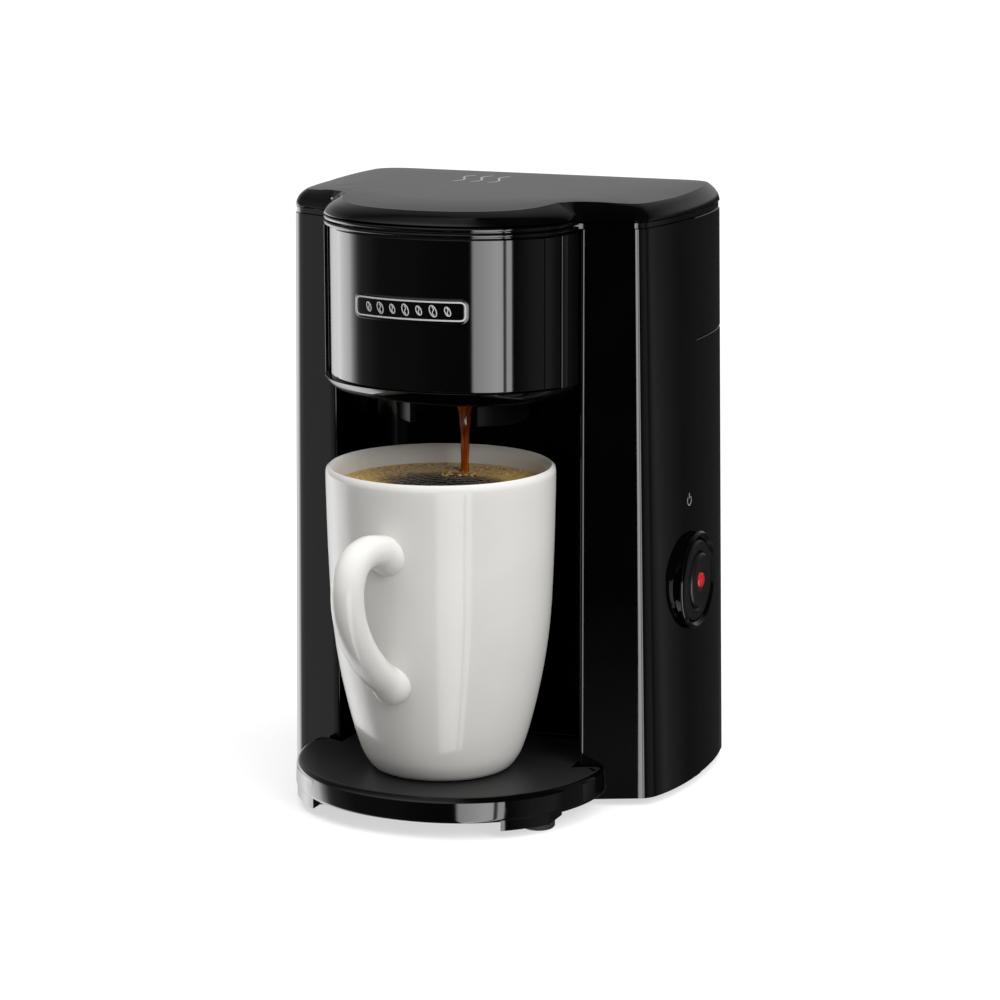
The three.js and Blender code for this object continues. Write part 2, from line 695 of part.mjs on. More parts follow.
function addWiring() {
  const body = block([-58, 68, 30], [-30, 80, 44]);
  const slots = [-53, -44, -35].map((x) => bar("z", 2.2, 38, 50, [x, 74], 12));
  add("terminal_block", cut(body, ...slots), LOOKS.silicone);
  add(
    "wire_live",
    tube(
      [
        [54.4, 58.9, 75], [50, 62.4, 64], [40, 70, 54], [10, 78, 58],
        [-24, 77, 56], [-44, 74, 52], [-44, 74, 44.4],
      ],
      1.3, 16, 6,
    ),
    LOOKS.wireBrown,
  );
  add(
    "wire_neutral",
    tube(
      [[-53, 74, 44.4], [-53, 73, 52], [-36, 68, 52], [-16, 60, 46], [-11.4, 52, 38], [-11.4, 46, 28.8]],
      1.3, 14, 6,
    ),
    LOOKS.wireBlue,
  );
  const grommet = [
    [4.2, -3.4], [8.4, -3.4], [8.4, -1.2], [6.2, -1.2], [6.2, 2.0], [8.6, 2.0], [8.0, 4.4], [4.2, 4.4],
    [4.2, -3.4],
  ];
  const ring = turned(grommet, [0, 0, 0], 20).rotateX(-Math.PI / 2).translate(CORD.x, BACK_Y - 1.6, CORD.z);
  add("cord_grommet", ring, LOOKS.rubber);
}

// ---- Switch ----

function addSwitch() {
  const { y, z, face, hole } = SWITCH;
  const at = [0, y, z];
  const bezel = [
    [15.4, 66], [hole - 0.4, 66], [hole - 0.4, face], [18.1, face], [18.1, face + 0.7],
    [17.4, face + 1.5], [16.9, face + 1.5], [15.4, face + 0.5], [15.4, 66],
  ];
  add("switch_bezel", turnedAlongX(bezel, at), LOOKS.glossBlack);
  const ring = [
    [10.5, 68], [15.0, 68], [15.0, face + 0.3], [14.2, face + 1.0], [11.4, face + 1.2], [10.5, face + 0.7],
    [10.5, 68],
  ];
  add("switch_ring", turnedAlongX(ring, at), LOOKS.satinBlack);
  const button = [
    [3.2, 67.5], [10.2, 67.5], [10.2, face + 1.7], [9.3, face + 2.5], [4.4, face + 2.1], [3.2, face + 1.7],
    [3.2, 67.5],
  ];
  add("push_button", turnedAlongX(button, at), LOOKS.satinBlack);
  const lens = [
    [0, 67.7], [2.9, 67.7], [2.9, face + 1.8], [1.9, face + 2.5], [0, face + 2.8],
  ];
  add("indicator_lens", turnedAlongX(lens, at, 16), LOOKS.redLens);
  const body = join(
    block([50.4, y - 11, z - 11], [61.5, y + 11, z + 11]),
    block([54, y + 10.5, z - 5], [54.8, y + 17, z - 1]),
    block([54, y + 10.5, z + 1], [54.8, y + 17, z + 5]),
  );
  add("switch_body", body, LOOKS.mattBlack);
  const coil = [];
  const turns = 3;
  const around = 8;
  for (let i = 0; i <= turns * around; i++) {
    const t = (2 * Math.PI * i) / around;
    coil.push([62.6 + (4.2 * i) / (turns * around), y + 5.4 * Math.cos(t), z + 5.4 * Math.sin(t)]);
  }
  add("button_spring", tube(coil, 0.45, turns * around, 5), LOOKS.steel);
}

// ---- Foot ----

function addBase() {
  const outer = loft([
    [BASE_BOTTOM, baseOutline(0.9)],
    [BASE_BOTTOM + 1.2, baseOutline(0)],
    [BASE_TOP - 0.6, baseOutline(0)],
    [BASE_TOP, baseOutline(0.6)],
  ]);
  const hollow = prism(baseOutline(3), BASE_BOTTOM - 1, BASE_TOP - 2.6);
  const tabs = [];
  for (const side of [-1, 1]) {
    const zone = prism(baseOutline(0.2), BODY_BOTTOM + GAP, BASE_TOP - 1);
    const slot = block([side * FRONT_FOOT.x - 6.6, -80, 0], [side * FRONT_FOOT.x + 6.6, -24, BASE_TOP]);
    tabs.push(common(zone, slot));
  }
  add("foot_plate", join(cut(outer, hollow), ...tabs), LOOKS.satinBlack);
  const cover = prism(baseOutline(3.4), BASE_BOTTOM + 0.4, BASE_BOTTOM + 2.0);
  const tabWay = [-1, 1].map((side) =>
    block([side * FRONT_FOOT.x - 9.5, -80, 0], [side * FRONT_FOOT.x + 9.5, -23.5, 12]),
  );
  add("foot_plate_cover", cut(cover, ...tabWay), LOOKS.mattBlack);

  const plate = prism(towerOutline(0, WALL + GAP), BODY_BOTTOM + 0.6, BODY_BOTTOM + 3.2);
  const screwWays = SCREWS.map(({ x, y }) => bar("z", 1.9, 0, 10, [x, y], 12));
  add("bottom_cover", cut(plate, ...screwWays), LOOKS.mattBlack);
  SCREWS.forEach(({ x, y }, i) => {
    const screw = [
      [0, 0.9], [2.0, 0.9], [3.0, 1.6], [3.0, 2.9], [1.4, 2.9], [1.4, 14], [0, 15.5],
    ];
    add("bottom_screw_" + (i + 1), turned(screw, [x, y, 0], 12), LOOKS.steel);
  });

  const pads = [
    ["front_left", -FRONT_FOOT.x, FRONT_FOOT.y, BODY_BOTTOM],
    ["front_right", FRONT_FOOT.x, FRONT_FOOT.y, BODY_BOTTOM],
    ["rear_left", -REAR_FOOT.x, REAR_FOOT.y, BODY_BOTTOM + GAP],
    ["rear_right", REAR_FOOT.x, REAR_FOOT.y, BODY_BOTTOM + GAP],
  ];
  for (const [name, x, y, top] of pads) {
    const r = name.startsWith("front") ? 6 : 7;
    const foot = [
      [0, 0], [r - 0.6, 0], [r, 0.6], [r, top], [0, top],
    ];
    add("foot_" + name, turned(foot, [x, y, 0], 20), LOOKS.rubber);
  }
}

// ---- Mug ----

function addMug() {
  const { x, y, height, handleAngle } = MUG;
  const outside = [
    [0, 1.4], [21.8, 1.4], [22.6, 0], [24.8, 0.4], [29.4, 7.5], [33.0, 19.5],
    [36.8, 37], [39.2, 55], [40.4, 78], [41.1, 107.5], [39.7, height],
  ];
  const inside = [
    [38.2, 109.4], [36.6, 76], [35.0, 52], [30.6, 26], [25.5, 12.5], [20, 8.2], [0, 6.6],
  ];
  const cup = turned([...outside, ...inside], [0, 0, 0], 36);
  const room = turned([[0, 6.6], ...inside.slice(0, -1).reverse(), [38.4, 130], [0, 130]], [0, 0, 0], 36);
  const grip = tube(
    [
      [0, -37, 84.8], [0, -45, 87.4], [0, -53.5, 88.8], [0, -60.8, 87.2], [0, -65.4, 82.6], [0, -66.9, 75.5],
      [0, -65, 66.2], [0, -59.2, 56.4], [0, -50.4, 47.2], [0, -41, 40.4], [0, -34.4, 37.2],
    ],
    5.7, 18, 10,
  );
  const mug = join(cup, cut(grip, room));
  add("mug", mug.rotateZ(handleAngle).translate(x, y, MUG_Z), LOOKS.ceramic);
}

addHousing();
addBayPanel();
addHead();
addDeck();
addLid();
addFilterHolder();
addFilter();
addTank();
addValve();
addWaterLines();
addHeater();
addWiring();
addSwitch();
addBase();
addMug();

export default machine;
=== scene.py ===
"""Looks for the one-cup drip coffee maker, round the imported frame: skins, materials, lights and camera."""
import random
from math import acos, atan2, copysign, cos, dist, exp, hypot, pi, radians, sin, sqrt, tan

import bmesh
import bpy
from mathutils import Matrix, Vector
from mathutils.geometry import delaunay_2d_cdt


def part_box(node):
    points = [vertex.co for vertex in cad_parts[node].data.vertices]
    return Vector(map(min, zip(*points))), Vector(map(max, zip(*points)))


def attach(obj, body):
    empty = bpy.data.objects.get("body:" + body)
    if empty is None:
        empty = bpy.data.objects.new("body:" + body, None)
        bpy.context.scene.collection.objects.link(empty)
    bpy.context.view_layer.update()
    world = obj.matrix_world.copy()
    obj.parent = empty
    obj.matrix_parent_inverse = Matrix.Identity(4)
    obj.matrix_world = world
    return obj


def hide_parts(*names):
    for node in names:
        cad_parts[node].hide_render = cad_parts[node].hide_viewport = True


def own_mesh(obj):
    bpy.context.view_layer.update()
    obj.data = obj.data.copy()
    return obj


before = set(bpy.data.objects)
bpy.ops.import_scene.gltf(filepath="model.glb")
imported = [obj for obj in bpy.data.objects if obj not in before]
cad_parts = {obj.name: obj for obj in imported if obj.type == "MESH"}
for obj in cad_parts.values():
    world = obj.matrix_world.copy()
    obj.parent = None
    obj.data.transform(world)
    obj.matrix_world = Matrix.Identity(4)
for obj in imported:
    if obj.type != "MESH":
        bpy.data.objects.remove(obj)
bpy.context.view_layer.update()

MM = 0.001


def span(node):
    """The CAD node's lowest and highest corners in millimetres."""
    low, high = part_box(node)
    return [v / MM for v in low], [v / MM for v in high]


# ---- Sizes in millimetres, from the CAD model ----

BODY_BOTTOM, BODY_TOP = span("front_housing")[0][2], span("front_housing")[1][2]
SEAM_Y = span("front_housing")[1][1]
REAR_TOP = span("rear_cover")[1][2]
BACK_Y = span("rear_cover")[1][1]
HEAD_LOW, HEAD_HIGH = span("head_shell")
DECK_LOW, DECK_HIGH = span("deck")[0][2], 212.6
COLLAR_TOP = 213.7
LID_HIGH = span("lid")[1][2]
LID_LOW = 212.9
PANEL_LOW = span("front_panel")[0][2]
BASE_LOW, BASE_TOP = 6.0, span("foot_plate")[1][2]
MUG_LOW = span("mug")[0]
GAP = 0.3
WING_X, WING_Y, SWEEP = 47.6, -3.2, radians(24.5)
HEAD_X, HEAD_DEPTH, HEAD_Y, HEAD_FULL = 47.3, 40.2, -0.2, 0.945
PANEL_TOP = 209.5
PANEL_ANGLE = radians(72.6)
HINGE_Y, HINGE_Z = 88.9, 213.8
BAY_BACK_Y = 32.5
LEFT_EXTRA = 1.8  # what the head is wider by on its left
BREW_Y = 5.0
BASE_HALF, BASE_DEPTH, BASE_Y, BASE_FULL = 57.8, 55.6, -6.2, 0.952
MUG_X, MUG_Y, MUG_TURN = 1.0, -19.5, radians(-5.2)
SWITCH_Y, SWITCH_Z, SWITCH_FACE, SWITCH_HOLE = 40.3, 77.8, 77.0, 17.3
LIP_LOW = 150.5
MUG_TALL, COFFEE_DOWN, COFFEE_R = 110.7, 7.2, 37.55
CDT_NEAR = 1e-5


# ---- Mesh making ----


def lerp(a, b, t):
    return a + (b - a) * t


def put_in_scene(name, data):
    made = bpy.data.objects.new(name, data)
    bpy.context.scene.collection.objects.link(made)
    return made


def flat_mesh(name, corners, material):
    """One face over four corners given in metres."""
    mesh = bpy.data.meshes.new(name)
    mesh.from_pydata(corners, [], [[0, 1, 2, 3]])
    mesh.materials.append(material)
    return put_in_scene(name, mesh)


def make(name, verts, faces, material, body, stands_for=(), slot=None, angle=38, extra=()):
    """A mesh piece from points in millimetres. It rides on a body and stands for CAD nodes."""
    mesh = bpy.data.meshes.new(name)
    mesh.from_pydata([(x * MM, y * MM, z * MM) for x, y, z in verts], [], faces)
    for m in (material, *extra):
        mesh.materials.append(m)
    tidy = bmesh.new()
    tidy.from_mesh(mesh)
    bmesh.ops.remove_doubles(tidy, verts=tidy.verts, dist=2e-6)
    bmesh.ops.recalc_face_normals(tidy, faces=tidy.faces)
    tidy.to_mesh(mesh)
    tidy.free()
    mesh.shade_smooth()
    mesh.set_sharp_from_angle(angle=radians(angle))
    piece = put_in_scene(name, mesh)
    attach(piece, body)
    if stands_for:
        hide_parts(*stands_for)
    return piece


def bevel(piece, width, segments=3, angle=40):
    """Rounds the sharp edges of a piece and keeps its flats flat."""
    made = piece.modifiers.new("round", "BEVEL")
    made.width = width * MM
    made.segments = segments
    made.limit_method = "ANGLE"
    made.angle_limit = radians(angle)
    made.harden_normals = True
    made.use_clamp_overlap = True
    return piece


def merged(*parts):
    """Several (verts, faces) as one."""
    verts, faces = [], []
    for v, f in parts:
        base = len(verts)
        verts += v
        faces += [[i + base for i in face] for face in f]
    return verts, faces


def quads(n, rows, closed=True):
    """The faces between rows of n points that follow each other in one list."""
    return [
        [r * n + i, r * n + (i + 1) % n, (r + 1) * n + (i + 1) % n, (r + 1) * n + i]
        for r in range(rows - 1) for i in range(n if closed else n - 1)
    ]


def filled(loop, extra=()):
    """Triangles over a closed flat outline and the points inside it: (points, triangles)."""
    n = len(loop)
    points = [Vector(p[:2]) for p in (*loop, *extra)]
    flat, _, tris, _, _, _ = delaunay_2d_cdt(points, [(i, (i + 1) % n) for i in range(n)], [], 1, CDT_NEAR)
    return flat, [list(t) for t in tris]


def loft(rings, cap=True):
    """A closed skin through closed rings that all have the same number of points."""
    n = len(rings[0])
    faces = quads(n, len(rings))
    if cap:
        faces.append(list(range(n))[::-1])
        faces.append([(len(rings) - 1) * n + i for i in range(n)])
    return [p for ring in rings for p in ring], faces


def turned(profile, sides=96, axis="z", at=(0, 0, 0)):
    """A skin turned about an axis from [radius, height] points. A zero radius becomes a single pole."""
    verts, rings, faces = [], [], []
    for r, h in profile:
        ring = []
        for k in range(1 if r < 1e-6 else sides):
            t = 2 * pi * k / sides
            u, v = r * cos(t), r * sin(t)
            p = {"z": (u, v, h), "x": (h, u, v), "y": (u, h, v)}[axis]
            ring.append(len(verts))
            verts.append((p[0] + at[0], p[1] + at[1], p[2] + at[2]))
        rings.append(ring)
    for a, b in zip(rings, rings[1:]):
        for k in range(sides):
            j = (k + 1) % sides
            quad = [a[k % len(a)], a[j % len(a)], b[j % len(b)], b[k % len(b)]]
            face = [v for i, v in enumerate(quad) if v not in quad[:i]]
            if len(face) > 2:
                faces.append(face)
    return verts, faces


def smooth_profile(points, radius=0.6, steps=4):
    """The profile with each corner rounded off."""
    closed = points[0] == points[-1]
    core = points[:-1] if closed else points
    out = []
    for i, p in enumerate(core):
        if not closed and i in (0, len(core) - 1):
            out.append(p)
            continue
        a, b = Vector(core[i - 1]), Vector(core[(i + 1) % len(core)])
        c = Vector(p)
        r = min(radius, (a - c).length * 0.45, (b - c).length * 0.45)
        start, end = c + (a - c).normalized() * r, c + (b - c).normalized() * r
        for k in range(steps + 1):
            t = k / steps
            out.append(tuple(start * (1 - t) ** 2 + c * 2 * t * (1 - t) + end * t * t))
    return out + [out[0]] if closed else out


def even_steps(path, count, gap=dist):
    """Where count + 1 evenly spread points lie on a path, each as (segment, share of the segment)."""
    lengths = [0.0]
    for a, b in zip(path, path[1:]):
        lengths.append(lengths[-1] + gap(a, b))
    j = 0
    for k in range(count + 1):
        want = lengths[-1] * k / count
        while j < len(path) - 2 and lengths[j + 1] < want:
            j += 1
        yield j, (want - lengths[j]) / max(lengths[j + 1] - lengths[j], 1e-9)


def spline(points, count):
    """Catmull-Rom through points, as count + 1 evenly spread points."""
    pts = [Vector(p) for p in points]
    pts = [pts[0] * 2 - pts[1], *pts, pts[-1] * 2 - pts[-2]]
    dense = []
    for p0, p1, p2, p3 in zip(pts, pts[1:], pts[2:], pts[3:]):
        for t in (k / 24 for k in range(24)):
            dense.append(
                0.5 * (2 * p1 + (p2 - p0) * t + (2 * p0 - 5 * p1 + 4 * p2 - p3) * t * t
                       + (3 * p1 - p0 - 3 * p2 + p3) * t ** 3)
            )
    dense.append(pts[-2])
    steps = even_steps(dense, count, lambda a, b: (b - a).length)
    return [dense[j].lerp(dense[j + 1], min(1, max(0, t))) for j, t in steps]


def swept(points, radius, sides=20, up=(1, 0, 0)):
    """A tube along points. radius is a number or a function of the share of the way."""
    rings, n = [], len(points)
    side = Vector(up)
    for i, p in enumerate(points):
        along = (points[min(i + 1, n - 1)] - points[max(i - 1, 0)]).normalized()
        side = (side - along * side.dot(along)).normalized()
        other = along.cross(side)
        r = radius(i / (n - 1)) if callable(radius) else radius
        turns = [2 * pi * k / sides for k in range(sides)]
        rings.append([tuple(p + side * (r * cos(t)) + other * (r * sin(t))) for t in turns])
    return loft(rings)


def plate(outer, holes, low, high):
    """A flat plate between two heights over an outline with holes."""
    loops = [outer, *holes]
    points, edges = [], []
    for loop in loops:
        base = len(points)
        points += [Vector(p[:2]) for p in loop]
        edges += [(base + i, base + (i + 1) % len(loop)) for i in range(len(loop))]
    flat, _, tris, _, _, _ = delaunay_2d_cdt(points, edges, [], 1, CDT_NEAR)

    def inside(loop, p):
        hit = False
        for a, b in zip(loop, loop[1:] + loop[:1]):
            if (a[1] > p[1]) != (b[1] > p[1]):
                if p[0] < (b[0] - a[0]) * (p[1] - a[1]) / (b[1] - a[1]) + a[0]:
                    hit = not hit
        return hit

    kept = []
    for tri in tris:
        mid = sum((flat[i] for i in tri), Vector((0, 0))) / len(tri)
        if inside(outer, mid) and not any(inside(h, mid) for h in holes):
            kept.append(list(tri))
    n = len(flat)
    verts = [(p[0], p[1], low) for p in flat] + [(p[0], p[1], high) for p in flat]
    faces = [t[::-1] for t in kept] + [[i + n for i in t] for t in kept]
    for loop in loops:
        ids = [min(range(n), key=lambda i: (flat[i] - Vector(p[:2])).length_squared) for p in loop]
        faces += [[a, b, b + n, a + n] for a, b in zip(ids, ids[1:] + ids[:1]) if a != b]
    return verts, faces


def circle(r, x, y, sides=64):
    return [
        (x + r * cos(2 * pi * k / sides), y + r * sin(2 * pi * k / sides))
        for k in range(sides)
    ]


def box_at(low, high):
    x0, y0, z0 = low
    x1, y1, z1 = high
    verts = [(x, y, z) for z in (z0, z1) for x, y in ((x0, y0), (x1, y0), (x1, y1), (x0, y1))]
    return verts, [[3, 2, 1, 0], [4, 5, 6, 7], [0, 1, 5, 4], [1, 2, 6, 5], [2, 3, 7, 6], [3, 0, 4, 7]]


# ---- Plan outlines ----


def bend(a, corner, b, steps):
    """Points on the rounded way from a to b past a corner, without the first."""
    out = []
    for k in range(1, steps + 1):
        t = k / steps
        out.append(tuple(
            a[i] * (1 - t) ** 2 + corner[i] * 2 * t * (1 - t) + b[i] * t * t for i in range(2)
        ))
    return out


def straight(a, b, steps):
    return [(lerp(a[0], b[0], k / steps), lerp(a[1], b[1], k / steps)) for k in range(1, steps + 1)]


def wing_y(x, inset=0.0):
    return WING_Y + (x - WING_X) * tan(SWEEP) + inset / cos(SWEEP)


def side_path(start, up, inset=0.0):
    """From a point on the pillar's front face, round the outer corner, along the side and round to the back."""
    def mix(bottom, top):
        return lerp(bottom, top, up) - inset

    cx = mix(70.6, 67.8)
    corner = (cx, wing_y(cx, inset))
    rear = (mix(74.6, 71.3), 78.0 - 0.8 * inset)
    b = [corner, (mix(78.0, 72.6), 20.0), (mix(79.8, 75.2), 54.0 - 0.4 * inset), rear]

    def on(t):
        s = 1 - t
        return tuple(
            b[0][i] * s ** 3 + 3 * b[1][i] * s * s * t + 3 * b[2][i] * s * t * t + b[3][i] * t ** 3
            for i in range(2)
        )

    before = (cx - 3 * cos(SWEEP), corner[1] - 3 * sin(SWEEP))
    first = 0.07
    out = straight(start, before, 8) + bend(before, corner, on(first), 8)
    out += [on(lerp(first, 1, k / 40)) for k in range(1, 41)]
    out += bend(rear, (rear[0] - 1, BACK_Y - inset), (rear[0] - 12, BACK_Y - inset), 10)
    return out


def tower_path(up, inset=0.0):
    """The tower's right half from the middle of the bay's back wall to the middle of the back."""
    back, side, fillet = BAY_BACK_Y + inset, WING_X + inset, 12
    out = [(0.0, back)] + straight((0, back), (side - fillet, back), 5)
    out += bend(out[-1], (side, back), (side, back - fillet), 8)
    low = (side, wing_y(side, inset) + 1.2)
    out += straight(out[-1], low, 7)
    start = (side + 1.2, wing_y(side + 1.2, inset))
    out += bend(low, (side, wing_y(side, inset)), start, 5)
    out += side_path(start, up, inset)
    return out + straight(out[-1], (0, BACK_Y - inset), 8)


def oval(t, inset=0.0):
    """A point on the head's outline; t runs from 0 at the front to a quarter turn at the side, minus on the left."""
    x, y = abs(sin(t)) ** HEAD_FULL, max(0.0, cos(t)) ** HEAD_FULL
    return (copysign((HEAD_X - inset) * x, t), HEAD_Y - (HEAD_DEPTH - inset) * y)


def lean(p):
    """The point moved out, if it is on the head's left: the head is a little wider there."""
    x, y = p[0], p[1]
    if x >= 0 or y > 4:
        return p
    if x > -HEAD_X:
        return (x * (1 + LEFT_EXTRA / HEAD_X), *p[1:])
    more = LEFT_EXTRA * max(0.0, 1 - (-x - HEAD_X) / 12)
    return (x - more, y + more * tan(SWEEP), *p[2:])


def top_path(inset=0.0, fillet=1.5):
    """The whole top's right half, from the middle of the head's front to the middle of the back."""
    a, b = HEAD_X - inset, HEAD_DEPTH - inset
    join_y = min(wing_y(a, inset) - fillet, HEAD_Y)
    end = acos(min(1, (HEAD_Y - join_y) / b) ** (1 / HEAD_FULL))
    out = [oval(end * k / 40, inset) for k in range(41)]
    start = (a + fillet, wing_y(a + fillet, inset))
    out += bend(out[-1], (a, wing_y(a, inset)), start, 6)
    out += side_path(start, 1, inset)
    return out + straight(out[-1], (0, BACK_Y - inset), 8)


def mirrored(path):
    """The closed outline of a right half that starts and ends on x = 0."""
    return path + [(-x, y) for x, y in path[-2:0:-1]]


def base_path(inset):
    half, depth = BASE_HALF - inset, BASE_DEPTH - inset
    out = []
    for k in range(37):
        t = pi / 2 * k / 36
        out.append((half * sin(t) ** BASE_FULL, BASE_Y - depth * max(0.0, cos(t)) ** BASE_FULL))
    edge = wing_y(half, -GAP - inset)
    out += straight(out[-1], (half, edge - 4.5), 3)
    out += bend(out[-1], (half, edge), (half - 4, wing_y(half - 4, -GAP - inset)), 8)
    tongue = WING_X - GAP - 0.2 - inset
    inner = (tongue, wing_y(tongue, -GAP - 0.2 - inset))
    out += straight(out[-1], inner, 3)
    out += straight(inner, (tongue, 20 - inset), 4)
    out += bend(out[-1], (tongue, 32 - inset), (tongue - 12, BAY_BACK_Y - 3 - inset), 8)
    return out + straight(out[-1], (0, BAY_BACK_Y - 3 - inset), 4)


# ---- Materials ----


def nodes_of(name):
    made = bpy.data.materials.new(name)
    made.use_nodes = True
    tree = made.node_tree
    return made, tree, tree.nodes["Principled BSDF"]


def put(shader, values):
    for socket, value in values.items():
        shader.inputs[socket].default_value = value


def wire(tree, a, out, b, into):
    tree.links.new(a.outputs[out], b.inputs[into])


def node(tree, kind, values, **settings):
    """A new shader node. A socket takes a plain value, or (another node, its output)."""
    made = tree.nodes.new("ShaderNode" + kind)
    for name, value in settings.items():
        setattr(made, name, value)
    for socket, value in values.items():
        if isinstance(value, tuple) and isinstance(value[0], bpy.types.Node):
            wire(tree, *value, made, socket)
        else:
            made.inputs[socket].default_value = value
    return made


def ramp(tree, source, out, stops):
    made = node(tree, "ValToRGB", {"Fac": (source, out)})
    elements = made.color_ramp.elements
    for element, (at, colour) in zip(elements, (stops[0], stops[-1])):
        element.position, element.color = at, (*colour, 1)
    for at, colour in stops[1:-1]:
        elements.new(at).color = (*colour, 1)
    return made


def noise(tree, scale, detail=3.0, roughness=0.5, stretch=None):
    """A noise texture in the object's own space, in features per metre."""
    place = (node(tree, "TexCoord", {}), "Object")
    if stretch:
        place = (node(tree, "Mapping", {"Scale": stretch, "Vector": place}), "Vector")
    return node(tree, "TexNoise", {"Scale": scale, "Detail": detail, "Roughness": roughness, "Vector": place})


def spread(tree, source, out, low, high, bsdf, into="Roughness"):
    """Feeds a 0..1 value into a socket as a range."""
    made = node(tree, "MapRange", {"To Min": low, "To Max": high, "Value": (source, out)})
    wire(tree, made, "Result", bsdf, into)


def bump(tree, bsdf, height, out, distance, strength=1.0, chain=None):
    made = node(tree, "Bump", {"Strength": strength, "Distance": distance, "Height": (height, out)})
    if chain:
        wire(tree, chain, "Normal", made, "Normal")
    wire(tree, made, "Normal", bsdf, "Normal")
    return made


def colours(tree, source, out, stops, bsdf):
    wire(tree, ramp(tree, source, out, stops), "Color", bsdf, "Base Color")


def gloss_plastic(name, dark, light, rough=(0.03, 0.06), peel=2.5e-6):
    """Moulded high-gloss plastic: barely wavy, with faint handling haze."""
    made, tree, bsdf = nodes_of(name)
    haze = noise(tree, 38, 4, 0.6)
    colours(tree, haze, "Fac", [(0.35, dark), (0.7, light)], bsdf)
    spread(tree, haze, "Fac", rough[0], rough[1], bsdf)
    bump(tree, bsdf, noise(tree, 260, 1, 0.4), "Fac", peel)
    return made


def grained_plastic(name, dark, light, rough=(0.34, 0.46), grain=1900, depth=1.6e-5):
    """Moulded plastic with a spark-eroded grain."""
    made, tree, bsdf = nodes_of(name)
    broad = noise(tree, 24, 3, 0.6)
    colours(tree, broad, "Fac", [(0.3, dark), (0.75, light)], bsdf)
    spread(tree, broad, "Fac", rough[0], rough[1], bsdf)
    fine = bump(tree, bsdf, noise(tree, grain, 2, 0.55), "Fac", depth)
    bump(tree, bsdf, noise(tree, grain / 4, 2, 0.5), "Fac", depth * 0.8, 1.0, fine)
    return made


def metal(name, colour, rough, scale=400, stretch=(1, 1, 1), depth=4e-6):
    made, tree, bsdf = nodes_of(name)
    bsdf.inputs["Metallic"].default_value = 1.0
    lines = noise(tree, scale, 3, 0.6, stretch)
    dark = tuple(c * 0.82 for c in colour)
    colours(tree, lines, "Fac", [(0.3, dark), (0.7, colour)], bsdf)
    spread(tree, lines, "Fac", rough * 0.8, rough * 1.25, bsdf)
    bump(tree, bsdf, lines, "Fac", depth)
    return made


def rubbery(name, dark, light, rough=(0.6, 0.8)):
    return grained_plastic(name, dark, light, rough, 900, 2.5e-5)


def glaze(name):
    """Glazed stoneware: warm white, pooled a little, with sparse pin marks."""
    made, tree, bsdf = nodes_of(name)
    broad = noise(tree, 22, 4, 0.55)
    colours(tree, broad, "Fac", [(0.3, (0.69, 0.677, 0.652)), (0.7, (0.745, 0.732, 0.707))], bsdf)
    spread(tree, broad, "Fac", 0.25, 0.33, bsdf)
    put(bsdf, {"Specular IOR Level": 0.1, "Coat Weight": 0.3, "Coat Roughness": 0.06})
    wave = bump(tree, bsdf, noise(tree, 55, 2, 0.5), "Fac", 4e-5)
    bump(tree, bsdf, noise(tree, 700, 2, 0.5), "Fac", 4e-6, 1.0, wave)
    return made


def woven(name, dark, light):
    """A fine square net: two crossed waves."""
    made, tree, bsdf = nodes_of(name)
    where = (node(tree, "TexCoord", {}), "Object")
    waves = [
        (node(tree, "TexWave", {"Scale": 500, "Vector": where}, bands_direction=way), "Fac")
        for way in ("X", "Z")
    ]
    both = node(tree, "Math", {0: waves[0], 1: waves[1]}, operation="MULTIPLY")
    colours(tree, both, "Value", [(0.2, dark), (0.6, light)], bsdf)
    spread(tree, both, "Value", 0.7, 0.45, bsdf)
    bump(tree, bsdf, both, "Value", 4e-5)
    return made


def clear_plastic(name):
    made, tree, bsdf = nodes_of(name)
    put(bsdf, {"Transmission Weight": 0.55, "IOR": 1.49})
    haze = noise(tree, 60, 3, 0.6)
    colours(tree, haze, "Fac", [(0.3, (0.3, 0.32, 0.34)), (0.7, (0.38, 0.4, 0.42))], bsdf)
    spread(tree, haze, "Fac", 0.12, 0.24, bsdf)
    bump(tree, bsdf, noise(tree, 700, 2, 0.5), "Fac", 8e-6)
    return made


def red_lens(name):
    made, tree, bsdf = nodes_of(name)
    glow = noise(tree, 260, 2, 0.5)
    colours(tree, glow, "Fac", [(0.35, (0.3, 0.006, 0.01)), (0.7, (0.55, 0.03, 0.035))], bsdf)
    spread(tree, glow, "Fac", 0.08, 0.16, bsdf)
    put(bsdf, {"Emission Color": (0.9, 0.03, 0.04, 1), "Emission Strength": 0.14})
    return made


